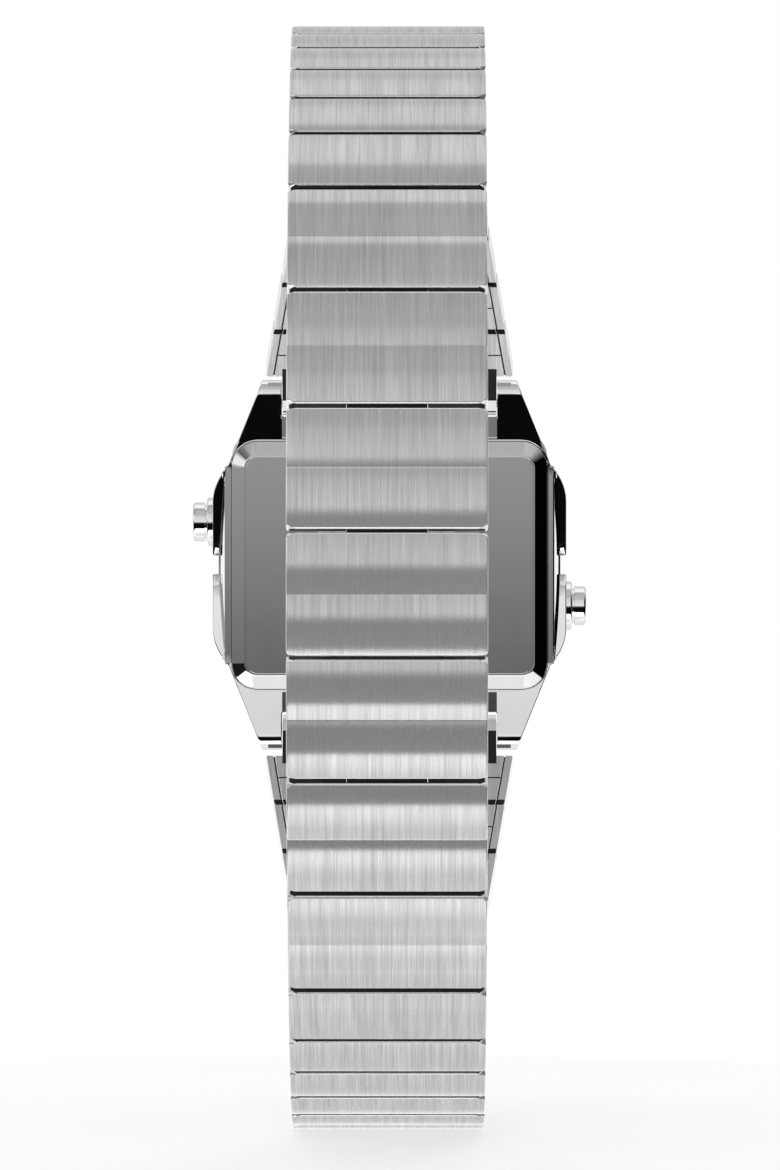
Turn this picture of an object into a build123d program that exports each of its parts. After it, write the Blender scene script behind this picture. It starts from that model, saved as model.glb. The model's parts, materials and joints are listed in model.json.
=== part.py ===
from build123d import *
import math
import os

os.makedirs("parts", exist_ok=True)

# Frame: millimetres, +Z towards 12 o'clock, the dial faces -Y, the case back
# faces +Y with its outer face at Y = 0, and the bracelet loops round in +Y.

# General clearances
running_fit = 0.05
seat_gap = 0.02
overrun = 40.0

# Case outline, seen from the front
case_half_width = 16.5
wing_top_z = 6.0
wing_bulge_in = 0.4
wing_bulge_z = 7.75
shoulder_in = 1.4
shoulder_z = 9.2
lug_gap = 20.0
lug_root_width = 2.3
lug_root_z = 16.0
lug_tip_width = 1.87
lug_tip_z = 17.25
side_notch_half = 0.86
side_notch_depth = 0.65
case_end_z = 13.3

# Case side profile: the back bows round the wrist and the lug ends are rounded
case_front_y = -7.3
case_front_z = 12.6
lug_front_y = -3.6
back_radius = 60.0
lug_round = 1.3
stem_wall = 1.8
cavity_height = 19.8
cavity_corner = 3.0

# Case back, and the pad of the case that it sits in
panel_side = 1.8
panel_height = 23.1
panel_corner = 2.45
panel_rise = 0.95
panel_bevel = 1.15
panel_bevel_height = 1.3
panel_flat_corner = 1.2
panel_seat = 0.4
panel_wall = 1.1
pad_rim = 0.6
pad_height = 18.4
pad_draft = 0.5
spigot_wall = 0.5
spigot_depth = 1.0
seal_width = 0.7
seal_depth = 0.6

# Bezel, crystal and display
bezel_side = 1.7
bezel_height = 24.9
bezel_corner = 2.6
bezel_bevel = 0.9
bezel_bevel_height = 0.75
bezel_top_corner = 2.0
bezel_thickness = 1.3
bezel_frame = 3.5
bezel_frame_height = 3.65
window_corner = 1.2
crystal_lap = 0.9
crystal_corner = 2.0
crystal_thickness = 1.2
crystal_stand = 0.35
crystal_seal = 0.4
mask_thickness = 0.3
mask_margin = 0.6
mask_lap = 1.2
mask_lap_height = 1.9
lcd_side = 2.3
lcd_side_height = 2.7
lcd_thickness = 1.3

# Movement
module_gap = 0.08
module_wall = 0.9
module_floor = 3.0
lcd_pocket_gap = 0.15
board_thickness = 0.6
board_gap = 0.15
chip_edge = 1.35
chip_gap = 2.25
chip_thickness = 0.9
chip_corner = 0.75
quartz_radius = 0.75
quartz_length = 5.0
quartz_edge = 1.15
battery_edge = 1.8
battery_edge_height = 2.0
battery_thickness = 1.6
battery_rim = 0.35
clip_thickness = 0.2
clip_width = 4.0
clip_foot = 1.4

# Pushers
pusher_z = 3.92
pusher_y = -4.55
cap_radius = 1.85
cap_reach = 1.72
cap_dome = 0.28
cap_sink = 0.5
cap_rim = 0.3
collar_radius = 2.33
collar_stand = 0.55
collar_seat = 0.6
pusher_travel = 0.8
spring_solid = 0.3
stem_radius = 0.65
clip_radius = 1.2
clip_ring = 0.25
clip_clearance = 0.05
spring_radius = 1.5
spring_wall = 0.45
oring_radius = 1.15
oring_width = 0.7
oring_x_share = 0.42
frame_slot_half = 1.7
frame_slot_depth = 1.9

# Spring bars
bar_y = -1.35
bar_z = 15.1
bar_radius = 0.7
bar_tip_radius = 0.4
bar_tip_length = 1.3
bar_tip_pressed = 0.12
bar_flange_radius = 0.6
bar_flange_length = 0.3
bar_neck = 0.35
lug_hole_depth = 1.7

# Bracelet
link_width = 17.0
lug_link_width = 23.0
taper_step = 1.6
single_pitch = 5.45
long_pitch = 6.85
double_pitch = 10.45
link_half_thickness = 1.1
hump_height = 0.4
double_arch = 0.26
link_gap = 0.14
inner_relief = 0.26
inner_relief_height = 0.8
link_corner = 0.45
hinge_setback = 0.95
hinge_pin_radius = 0.4
knuckle_radius = 0.78
pocket_radius = 0.86
knuckle_half_width = 3.4
pocket_side_gap = 0.1
pin_seat = 0.6
end_tongue_reach = 3.6
end_tongue_radius = 1.15
end_tongue_gap = 0.2
knuckle_flat_share = 0.414
knuckle_sides = 8

# Tilts from the vertical, from the middle of the clasp side up to the crown of
# the loop. The flank between crown and lug closes the loop by itself.
double_tilts = (11.6, 24.5, 36.5)
long_tilt = 49.5
crown_tilts = (57.0, 63.5, 70.0, 77.5, 85.5, 94.0)
flank_links = 8
flank_decay = 0.45

# Butterfly clasp under the links
blade_length = 11.5
blade_half_width = 4.5
blade_thickness = 0.7
clasp_pin_radius = 0.4
clasp_eye_radius = 0.66
clasp_pin_setback = 1.2
clasp_pin_depth = 1.95
clasp_far_depth = 3.85
blade_mid_depth = 2.62
plate_mid_depth = 3.2
plate_thickness = 0.7
plate_gap = 0.08
ear_gap = 0.15
ear_width = 1.2


def save(piece, label):
    """Label a finished piece and write it under its own name."""
    piece.part.label = label
    export_step(piece.part, f"parts/{label}.step")
    print(f"{label}: {len(piece.part.solids())} solids, {piece.part.volume:.2f} mm3")


def front_plane(y):
    """Sketch plane seen from the front, +X right and +Z up, at a depth in Y."""
    return Plane(origin=(0, y, 0), x_dir=(1, 0, 0), z_dir=(0, -1, 0))


def side_plane(x):
    """Sketch plane with local x along Y and local y along Z."""
    return Plane(origin=(x, 0, 0), x_dir=(0, 1, 0), z_dir=(1, 0, 0))


# Loop layout

def flank_tilts(lug_tilt):
    """Tilts between crown and lug, easing from the crown's last tilt to the lug's."""
    last = crown_tilts[-1]
    end = 180.0 - lug_tilt
    steps = range(1, flank_links + 1)
    return [end - (end - last) * math.exp(-flank_decay * step) for step in steps]


def links_from_lug(lug_tilt):
    """Tilt and pitch of each link of one half, from the lug to the clasp side."""
    run = [(tilt, double_pitch) for tilt in double_tilts]
    run.append((long_tilt, long_pitch))
    run += [(tilt, single_pitch) for tilt in crown_tilts]
    run += [(tilt, single_pitch) for tilt in flank_tilts(lug_tilt)]
    return run[::-1]


def hinge_span(index, pitch):
    """Distance between a link's two hinges; the first one starts at the spring bar."""
    return pitch + (end_tongue_reach - hinge_setback if index == 0 else 0)


def half_rise(lug_tilt):
    """Height gained from the spring bar to the hinge of the middle link."""
    links = enumerate(links_from_lug(lug_tilt))
    return sum(-hinge_span(i, pitch) * math.cos(math.radians(tilt)) for i, (tilt, pitch) in links)


def close_loop():
    """Lug tilt at which both halves meet the middle link."""
    target = hinge_setback + double_pitch / 2 - bar_z
    low, high = 0.0, 80.0
    for _ in range(50):
        middle = (low + high) / 2
        if half_rise(middle) > target:
            low = middle
        else:
            high = middle
    return (low + high) / 2


def hinge_points(lug_tilt):
    """Hinge of each link of the upper half as (Y, Z), the middle link's hinge last."""
    y, z = bar_y, bar_z
    points = [(y, z)]
    for index, (tilt, pitch) in enumerate(links_from_lug(lug_tilt)):
        span = hinge_span(index, pitch)
        y += span * math.sin(math.radians(tilt))
        z -= span * math.cos(math.radians(tilt))
        points.append((y, z))
    return points


lug_tilt = close_loop()
half_links = links_from_lug(lug_tilt)
hinges = hinge_points(lug_tilt)
clasp_side_y = hinges[-1][0]


def link_planes(hinge, tilt, side):
    """Profile plane and plan plane of a link; side is 1 above and -1 below."""
    turn = math.radians(tilt)
    y, z = hinge
    along = (0, math.sin(turn), -side * math.cos(turn))
    outward = (0, math.cos(turn), side * math.sin(turn))
    origin = (0, y, side * z)
    profile = Plane(origin=origin, x_dir=along, z_dir=(side, 0, 0))
    plan = Plane(origin=origin, x_dir=along, z_dir=outward)
    return profile, plan


def link_profile(start, end, pitch):
    """Side outline of a link: flat inside with relieved ends, humped outside."""
    valley = link_half_thickness
    inner = -link_half_thickness
    relief = inner + inner_relief_height
    if pitch == double_pitch:
        middle = (start + end) / 2
        crease = valley + double_arch
        crown = (valley + crease) / 2 + hump_height
        ThreePointArc((start, valley), ((start + middle) / 2, crown), (middle, crease))
        ThreePointArc((middle, crease), ((middle + end) / 2, crown), (end, valley))
    else:
        crown = valley + hump_height
        ThreePointArc((start, valley), ((start + end) / 2, crown), (end, valley))
    Polyline(
        (end, valley),
        (end, relief),
        (end - inner_relief, inner),
        (start + inner_relief, inner),
        (start, relief),
        (start, valley),
    )


def link_outline(start, end, start_width, end_width):
    """Plan of a link with its four corners cut."""
    half_start, half_end = start_width / 2, end_width / 2
    right = [
        (start, half_start - link_corner),
        (start + link_corner, half_start),
        (end - link_corner, half_end),
        (end, half_end - link_corner),
    ]
    left = [(s, -x) for s, x in right[::-1]]
    Polyline(*right, *left, close=True)


def knuckle_points(root, radius):
    """Eight-sided knuckle round a hinge, open towards its link at root."""
    flat = radius * math.cos(math.pi / knuckle_sides)
    corner = flat * knuckle_flat_share
    return [
        (root, flat),
        (-corner, flat),
        (-flat, corner),
        (-flat, -corner),
        (-corner, -flat),
        (root, -flat),
    ]


def bracelet_link(label, hinge, tilt, side, pitch, widths, first=False, last=False):
    """One link: humped body, knuckle round its hinge, pocket and pin for the next."""
    profile, plan = link_planes(hinge, tilt, side)
    setback = end_tongue_reach if first else hinge_setback
    start = setback + link_gap / 2
    end = setback + pitch - link_gap / 2
    next_hinge = setback + pitch - hinge_setback
    knuckle = end_tongue_radius if first else knuckle_radius
    knuckle_half = lug_gap / 2 - end_tongue_gap if first else knuckle_half_width
    bore = (bar_radius if first else hinge_pin_radius) + running_fit
    with BuildPart() as link:
        with BuildSketch(profile):
            with BuildLine():
                link_profile(start, end, pitch)
            make_face()
        extrude(amount=widths[0] / 2 + overrun, both=True)
        with BuildSketch(plan):
            with BuildLine():
                link_outline(start, end, *widths)
            make_face()
        extrude(amount=overrun, both=True, mode=Mode.INTERSECT)
        if not last:
            with BuildSketch(profile):
                with Locations((next_hinge - pocket_radius, pocket_radius)):
                    Rectangle(overrun, overrun, align=(Align.MIN, Align.MAX))
            extrude(amount=knuckle_half_width + pocket_side_gap, both=True, mode=Mode.SUBTRACT)
            with BuildSketch(profile):
                with Locations((next_hinge, 0)):
                    Circle(hinge_pin_radius)
            extrude(amount=knuckle_half_width + pocket_side_gap + pin_seat, both=True)
        with BuildSketch(profile):
            with BuildLine():
                Polyline(*knuckle_points(start + knuckle, knuckle), close=True)
            make_face()
            Circle(bore, mode=Mode.SUBTRACT)
        extrude(amount=knuckle_half, both=True)
        if last:
            clasp_ears(side)
    save(link, label)


# Clasp frame: its origin lies on the split between the middle link and the first
# lower link, h runs up along the bracelet and v points outwards.

split_half_angle = double_tilts[0] / 2
split_z = -double_pitch / 2
plate_end_depth = clasp_far_depth + clasp_eye_radius + plate_gap + plate_thickness / 2


def clasp_plane():
    """Profile plane of the clasp with local x outwards and local y upwards."""
    turn = math.radians(split_half_angle)
    outward = (0, math.cos(turn), -math.sin(turn))
    return Plane(origin=(0, clasp_side_y, split_z), x_dir=outward, z_dir=(1, 0, 0))


def ear_outline(v, h, root_v):
    """Six-sided ear round a pin at (v, h) that reaches to root_v."""
    radius = clasp_eye_radius
    corner = radius * knuckle_flat_share
    away = math.copysign(radius, v - root_v)
    bevel = math.copysign(corner, v - root_v)
    Polyline(
        (root_v, h - radius),
        (v + bevel, h - radius),
        (v + away, h - corner),
        (v + away, h + corner),
        (v + bevel, h + radius),
        (root_v, h + radius),
        close=True,
    )


def paired_ears(v, h, root_v):
    """Two ears at the clasp's sides and the pin between them."""
    inner_x = blade_half_width + ear_gap
    for x_side in (1, -1):
        with BuildSketch(clasp_plane().offset(x_side * (inner_x + ear_width / 2))) as ear:
            with BuildLine():
                ear_outline(v, h, root_v)
            make_face()
        extrude(ear.sketch, amount=ear_width / 2, both=True)
    with BuildSketch(clasp_plane()) as pin:
        with Locations((v, h)):
            Circle(clasp_pin_radius)
    extrude(pin.sketch, amount=inner_x + ear_width / 2, both=True)


def clasp_ears(side):
    """Ears on a link's inner face that carry a clasp blade."""
    paired_ears(-clasp_pin_depth, side * clasp_pin_setback, 0)


def strip(points, thickness):
    """Closed outline of a bent strip through three points of its middle line."""
    lower, middle, upper = points
    half = thickness / 2
    outer = [(v + half, h) for v, h in (lower, middle, upper)]
    inner = [(v - half, h) for v, h in (upper, middle, lower)]
    ThreePointArc(*outer)
    Line(outer[-1], inner[0])
    ThreePointArc(*inner)
    Line(inner[-1], outer[0])


def clasp_blade(label, side):
    """Curved blade with an eye at each end."""
    near = (-clasp_pin_depth, side * clasp_pin_setback)
    far = (-clasp_far_depth, side * (clasp_pin_setback + blade_length))
    middle = (-blade_mid_depth, side * (clasp_pin_setback + blade_length / 2))
    with BuildPart() as blade:
        with BuildSketch(clasp_plane()):
            with BuildLine():
                strip((near, middle, far), blade_thickness)
            make_face()
            with Locations(near, far):
                RegularPolygon(clasp_eye_radius, knuckle_sides, major_radius=False)
            with Locations(near, far):
                Circle(clasp_pin_radius + running_fit, mode=Mode.SUBTRACT)
        extrude(amount=blade_half_width, both=True)
    save(blade, label)


def clasp_plate():
    """Curved base plate on the wrist side, with ears and pins at both ends."""
    reach = clasp_pin_setback + blade_length
    with BuildPart() as plate:
        with BuildSketch(clasp_plane()):
            with BuildLine():
                points = ((-plate_end_depth, -reach), (-plate_mid_depth, 0), (-plate_end_depth, reach))
                strip(points, plate_thickness)
            make_face()
        extrude(amount=blade_half_width + ear_gap + ear_width, both=True)
        for side in (1, -1):
            paired_ears(-clasp_far_depth, side * reach, -plate_end_depth)
    save(plate, "clasp_plate")


# Case and case back

counterbore_depth = cap_sink + pusher_travel + spring_solid
cavity_width = 2 * (case_half_width - counterbore_depth - stem_wall)
groove_width = cavity_width + 2 * seal_width
groove_height = cavity_height + 2 * seal_width
panel_width = 2 * (case_half_width - panel_side)
pad_width = panel_width + 2 * pad_rim
panel_base_y = -panel_rise


def bow_drop(z):
    """How far the bowed back lies nearer the wrist at a height than at the middle."""
    return back_radius - math.sqrt(back_radius**2 - z**2)


case_middle_y = panel_base_y - bow_drop(panel_height / 2)
pad_y = case_middle_y + bow_drop(pad_height / 2)
seat_y = pad_y - panel_seat


def case_outline():
    """Right half of the case outline and its mirror, seen from the front."""
    shoulder_x = case_half_width - shoulder_in
    bulge_x = case_half_width - wing_bulge_in
    root_x = lug_gap / 2 + lug_root_width
    tip_x = lug_gap / 2 + lug_tip_width
    for side in (1, -1):
        Line((tip_x * side, lug_tip_z), (root_x * side, lug_root_z))
        Line((root_x * side, lug_root_z), (shoulder_x * side, shoulder_z))
        ThreePointArc(
            (shoulder_x * side, shoulder_z),
            (bulge_x * side, wing_bulge_z),
            (case_half_width * side, wing_top_z),
        )
        Line((case_half_width * side, wing_top_z), (case_half_width * side, 0))
    Line((-tip_x, lug_tip_z), (tip_x, lug_tip_z))
    Line((-case_half_width, 0), (case_half_width, 0))


def case_side_profile():
    """Upper half of the case in side view: bowed back and a tangent rounded lug end."""
    round_z = lug_tip_z - lug_round
    bow_end_z = round_z / (1 + lug_round / back_radius)
    bow_end_y = case_middle_y + bow_drop(bow_end_z)
    lean = math.asin(bow_end_z / back_radius)
    round_y = bow_end_y - lug_round * math.cos(lean)
    turn = (math.pi / 2 - lean) / 2
    half_z = bow_end_z / 2
    Polyline(
        (case_middle_y, 0),
        (case_front_y, 0),
        (case_front_y, case_front_z),
        (lug_front_y, lug_tip_z),
        (round_y, lug_tip_z),
    )
    ThreePointArc(
        (round_y, lug_tip_z),
        (round_y + lug_round * math.cos(turn), round_z + lug_round * math.sin(turn)),
        (bow_end_y, bow_end_z),
    )
    ThreePointArc(
        (bow_end_y, bow_end_z),
        (case_middle_y + bow_drop(half_z), half_z),
        (case_middle_y, 0),
    )


def mid_case():
    with BuildPart() as case:
        with BuildSketch(front_plane(0)):
            with BuildLine():
                case_outline()
            make_face()
            mirror(about=Plane.XZ)
        extrude(amount=overrun, both=True)
        with BuildSketch(side_plane(0)):
            with BuildLine():
                case_side_profile()
            make_face()
            mirror(about=Plane.XZ)
        extrude(amount=overrun, both=True, mode=Mode.INTERSECT)
        with BuildSketch(front_plane(pad_y)):
            Rectangle(pad_width, pad_height)
        with BuildSketch(front_plane(case_middle_y)):
            Rectangle(pad_width + 2 * pad_draft, pad_height)
        loft()
        with BuildSketch(front_plane(0)):
            for side in (1, -1):
                with Locations((0, side * (case_end_z + overrun / 2))):
                    Rectangle(lug_gap, overrun)
            for side in (1, -1):
                with Locations((side * (case_half_width - side_notch_depth + overrun / 2), 0)):
                    Rectangle(overrun, 2 * side_notch_half)
            RectangleRounded(cavity_width, cavity_height, cavity_corner)
        extrude(amount=overrun, both=True, mode=Mode.SUBTRACT)
        with BuildSketch(front_plane(seat_y)):
            pocket_size = (panel_width + 2 * seat_gap, panel_height + 2 * seat_gap)
            RectangleRounded(*pocket_size, panel_corner + seat_gap)
        extrude(amount=-overrun, mode=Mode.SUBTRACT)
        with BuildSketch(front_plane(seat_y)):
            RectangleRounded(groove_width, groove_height, cavity_corner + seal_width)
        extrude(amount=seal_depth, mode=Mode.SUBTRACT)
        for side in (1, -1):
            with BuildSketch(side_plane(side * lug_gap / 2)):
                with Locations((bar_y, bar_z), (bar_y, -bar_z)):
                    Circle(bar_tip_radius + running_fit)
            extrude(amount=side * lug_hole_depth, mode=Mode.SUBTRACT)
            with BuildSketch(side_plane(side * (case_half_width + overrun))):
                with Locations((pusher_y, side * pusher_z)):
                    Circle(cap_radius + running_fit)
            extrude(amount=-side * (counterbore_depth + overrun), mode=Mode.SUBTRACT)
            with BuildSketch(side_plane(side * (case_half_width - collar_seat))):
                with Locations((pusher_y, side * pusher_z)):
                    Circle(collar_radius)
            extrude(amount=side * overrun, mode=Mode.SUBTRACT)
            with BuildSketch(side_plane(0)):
                with Locations((pusher_y, side * pusher_z)):
                    Circle(stem_radius + running_fit)
            extrude(amount=side * case_half_width, mode=Mode.SUBTRACT)
            with BuildSketch(side_plane(side * oring_middle_x())):
                with Locations((pusher_y, side * pusher_z)):
                    Circle(oring_radius + seat_gap)
            extrude(amount=oring_width / 2 + seat_gap, both=True, mode=Mode.SUBTRACT)
    save(case, "mid_case")


def oring_middle_x():
    """Middle of the seal groove, within the wall behind the counterbore."""
    return cavity_width / 2 + oring_x_share * stem_wall


def case_back():
    """Stamped back: bevelled panel, and a spigot ring into the cavity."""
    flat_size = (panel_width - 2 * panel_bevel, panel_height - 2 * panel_bevel_height)
    spigot_size = (cavity_width - 2 * seat_gap, cavity_height - 2 * seat_gap)
    spigot_corner = cavity_corner - seat_gap
    inner_size = tuple(length - 2 * spigot_wall for length in spigot_size)
    with BuildPart() as back:
        with BuildSketch(front_plane(panel_base_y)):
            RectangleRounded(panel_width, panel_height, panel_corner)
        with BuildSketch(front_plane(0)):
            RectangleRounded(*flat_size, panel_flat_corner)
        loft()
        with BuildSketch(front_plane(panel_base_y)):
            RectangleRounded(panel_width, panel_height, panel_corner)
        extrude(amount=panel_base_y - seat_y)
        with BuildSketch(front_plane(panel_base_y)):
            RectangleRounded(*spigot_size, spigot_corner)
        extrude(amount=panel_base_y - seat_y + spigot_depth)
        with BuildSketch(front_plane(-panel_wall)):
            RectangleRounded(*inner_size, spigot_corner - spigot_wall)
        extrude(amount=overrun, mode=Mode.SUBTRACT)
    save(back, "case_back")


def ring_outline(width, height, corner, wall):
    """Rounded rectangular ring of one wall thickness, inside the given size."""
    RectangleRounded(width, height, corner)
    RectangleRounded(width - 2 * wall, height - 2 * wall, corner - wall, mode=Mode.SUBTRACT)


def case_back_seal():
    """Rubber seal in the groove round the cavity, pressed by the case back."""
    with BuildPart() as seal:
        with BuildSketch(front_plane(seat_y - seat_gap)):
            size = (groove_width - 2 * seat_gap, groove_height - 2 * seat_gap)
            ring_outline(*size, cavity_corner + seal_width - seat_gap, seal_width - 2 * seat_gap)
        extrude(amount=seal_depth - 2 * seat_gap)
    save(seal, "case_back_seal")


# Bezel, crystal and display

bezel_width = 2 * (case_half_width - bezel_side)
window_width = bezel_width - 2 * bezel_frame
window_height = bezel_height - 2 * bezel_frame_height
crystal_width = window_width + 2 * crystal_lap
crystal_height = window_height + 2 * crystal_lap
bezel_top_y = case_front_y - bezel_thickness
crystal_back_y = bezel_top_y - crystal_stand + crystal_thickness


def bezel():
    with BuildPart() as frame:
        with BuildSketch(front_plane(case_front_y)):
            RectangleRounded(bezel_width, bezel_height, bezel_corner)
        with BuildSketch(front_plane(bezel_top_y)):
            top_size = (bezel_width - 2 * bezel_bevel, bezel_height - 2 * bezel_bevel_height)
            RectangleRounded(*top_size, bezel_top_corner)
        loft()
        with BuildSketch(front_plane(0)):
            RectangleRounded(window_width, window_height, window_corner)
        extrude(amount=overrun, mode=Mode.SUBTRACT)
        with BuildSketch(front_plane(crystal_back_y)):
            seat = crystal_seal + seat_gap
            RectangleRounded(crystal_width + 2 * seat, crystal_height + 2 * seat, crystal_corner + seat)
        extrude(amount=overrun, mode=Mode.SUBTRACT)
    save(frame, "bezel")


def crystal():
    with BuildPart() as glass:
        with BuildSketch(front_plane(crystal_back_y - seat_gap)):
            RectangleRounded(crystal_width, crystal_height, crystal_corner)
        extrude(amount=crystal_thickness - seat_gap)
        chamfer(glass.faces().sort_by(Axis.Y)[0].edges(), length=crystal_stand / 2)
    save(glass, "crystal")


def crystal_seal_ring():
    with BuildPart() as ring:
        with BuildSketch(front_plane(crystal_back_y - seat_gap)):
            wall = crystal_seal - seat_gap
            size = (crystal_width + 2 * crystal_seal, crystal_height + 2 * crystal_seal)
            ring_outline(*size, crystal_corner + crystal_seal, wall)
        extrude(amount=crystal_thickness - crystal_stand - seat_gap)
    save(ring, "crystal_seal")


mask_back_y = case_front_y + mask_thickness


def display_mask():
    """Printed frame behind the crystal with a window for the display."""
    with BuildPart() as mask:
        with BuildSketch(front_plane(mask_back_y)):
            mask_size = (module_width - 2 * mask_margin, module_height - 2 * mask_margin)
            RectangleRounded(*mask_size, module_corner - mask_margin)
            Rectangle(lcd_width - 2 * mask_lap, lcd_height - 2 * mask_lap_height, mode=Mode.SUBTRACT)
        extrude(amount=mask_thickness - seat_gap)
    save(mask, "display_mask")


def lcd_panel():
    with BuildPart() as lcd:
        with BuildSketch(front_plane(frame_front_y + lcd_thickness)):
            Rectangle(lcd_width, lcd_height)
        extrude(amount=lcd_thickness)
    save(lcd, "lcd_panel")


# Movement

module_inset = seat_gap + spigot_wall + module_gap
module_width = cavity_width - 2 * module_inset
module_height = cavity_height - 2 * module_inset
module_corner = cavity_corner - module_inset
module_back_y = -panel_wall - seat_gap
frame_front_y = mask_back_y + seat_gap
frame_floor_y = frame_front_y + module_floor
board_front_y = frame_floor_y + seat_gap
board_back_y = board_front_y + board_thickness
battery_front_y = board_back_y + seat_gap
battery_back_y = battery_front_y + battery_thickness
board_width = module_width - 2 * (module_wall + board_gap)
board_height = module_height - 2 * (module_wall + board_gap)
lcd_width = module_width - 2 * lcd_side
lcd_height = module_height - 2 * lcd_side_height
battery_radius = board_height / 2 - battery_edge_height
battery_x = battery_edge + battery_radius - board_width / 2
chip_side = board_width - battery_edge - 2 * battery_radius - chip_gap - chip_edge
chip_x = (board_width - chip_side) / 2 - chip_edge
quartz_z = board_height / 2 - quartz_edge


def module_frame():
    """Moulded tub: display pocket in front, circuit board pocket behind."""
    inner_width = module_width - 2 * module_wall
    inner_height = module_height - 2 * module_wall
    with BuildPart() as frame:
        with BuildSketch(front_plane(module_back_y)):
            RectangleRounded(module_width, module_height, module_corner)
        extrude(amount=module_back_y - frame_front_y)
        with BuildSketch(front_plane(module_back_y)):
            RectangleRounded(inner_width, inner_height, module_corner - module_wall)
        extrude(amount=module_back_y - frame_floor_y, mode=Mode.SUBTRACT)
        with BuildSketch(front_plane(frame_front_y)):
            Rectangle(lcd_width + 2 * lcd_pocket_gap, lcd_height + 2 * lcd_pocket_gap)
        extrude(amount=-(lcd_thickness + seat_gap), mode=Mode.SUBTRACT)
        for side in (1, -1):
            with BuildSketch(side_plane(side * module_width / 2)):
                with Locations((pusher_y, side * pusher_z)):
                    Rectangle(2 * frame_slot_half, 2 * frame_slot_half)
            extrude(amount=-side * frame_slot_depth, mode=Mode.SUBTRACT)
    save(frame, "module_frame")


def circuit_board():
    """Board with the sealed chip and the quartz can soldered to its back."""
    with BuildPart() as board:
        with BuildSketch(front_plane(board_back_y)):
            RectangleRounded(board_width, board_height, module_corner - module_wall - board_gap)
            for side in (1, -1):
                with Locations((side * module_width / 2, side * pusher_z)):
                    Rectangle(2 * frame_slot_depth, 2 * frame_slot_half, mode=Mode.SUBTRACT)
        extrude(amount=board_thickness)
        with BuildSketch(front_plane(board_back_y)):
            with Locations((chip_x, 0)):
                RectangleRounded(chip_side, chip_side, chip_corner)
        extrude(amount=-chip_thickness)
        quartz_y = board_back_y + quartz_radius * math.sqrt(0.5)
        with BuildSketch(side_plane(chip_x)):
            with Locations((quartz_y, quartz_z)):
                Circle(quartz_radius)
        extrude(amount=quartz_length / 2, both=True)
    save(board, "circuit_board")


def battery():
    """Coin cell with its stepped rim."""
    with BuildPart() as cell:
        with BuildSketch(front_plane(battery_back_y)):
            with Locations((battery_x, 0)):
                Circle(battery_radius)
        extrude(amount=battery_thickness - battery_rim)
        with BuildSketch(front_plane(battery_front_y + battery_rim)):
            with Locations((battery_x, 0)):
                Circle(battery_radius - battery_rim)
        extrude(amount=battery_rim)
    save(cell, "battery")


def battery_clip():
    """Spring strip over the cell with a leg down to the board on each side."""
    leg_x = battery_radius + seat_gap
    back_y = battery_back_y + seat_gap + clip_thickness
    with BuildPart() as clip:
        with BuildSketch(Plane.XY):
            with Locations((battery_x, back_y)):
                Rectangle(2 * (leg_x + clip_thickness), clip_thickness, align=(Align.CENTER, Align.MAX))
            for side in (1, -1):
                with Locations((battery_x + side * (leg_x + clip_thickness / 2), back_y)):
                    Rectangle(clip_thickness, back_y - battery_front_y, align=(Align.CENTER, Align.MAX))
                with Locations((battery_x + side * leg_x, battery_front_y)):
                    anchor = Align.MIN if side > 0 else Align.MAX
                    Rectangle(clip_foot, clip_thickness, align=(anchor, Align.MIN))
        extrude(amount=clip_width / 2, both=True)
    save(clip, "battery_clip")


# Pushers, one above at +X and one below at -X

def pusher_plane(side):
    """Plane through a pusher's axis, local x along X and local y along Y."""
    return Plane(origin=(0, pusher_y, side * pusher_z), x_dir=(1, 0, 0), z_dir=(0, 0, 1))


def pusher_axis(side):
    return Axis((0, pusher_y, side * pusher_z), (1, 0, 0))


def pusher_profile(side):
    """Half section of a pusher: domed cap, stem and retaining ring."""
    cap_in = case_half_width - cap_sink
    cap_out = case_half_width + cap_reach
    crown = cap_out + cap_dome
    rim_radius = cap_radius - cap_rim
    ring_out = cavity_width / 2 - clip_clearance
    ring_in = ring_out - clip_ring
    stem_in = ring_in - clip_ring
    ThreePointArc(
        (side * crown, 0),
        (side * (cap_out + cap_dome * 3 / 4), rim_radius / 2),
        (side * cap_out, rim_radius),
    )
    Polyline(
        (side * cap_out, rim_radius),
        (side * (cap_out - cap_rim), cap_radius),
        (side * cap_in, cap_radius),
        (side * cap_in, stem_radius),
        (side * ring_out, stem_radius),
        (side * ring_out, clip_radius),
        (side * ring_in, clip_radius),
        (side * ring_in, stem_radius),
        (side * stem_in, stem_radius),
        (side * stem_in, 0),
        (side * crown, 0),
    )


def pusher(label, side):
    with BuildPart() as button:
        with BuildSketch(pusher_plane(side)):
            with BuildLine():
                pusher_profile(side)
            make_face()
        revolve(axis=pusher_axis(side))
    save(button, label)


def pusher_spring(label, side):
    """Return spring between the cap and the bottom of its counterbore."""
    floor_x = case_half_width - counterbore_depth + seat_gap
    length = counterbore_depth - cap_sink - 2 * seat_gap
    with BuildPart() as spring:
        with BuildSketch(side_plane(side * floor_x)):
            with Locations((pusher_y, side * pusher_z)):
                Circle(spring_radius)
                Circle(spring_radius - spring_wall, mode=Mode.SUBTRACT)
        extrude(amount=side * length)
    save(spring, label)


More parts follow.
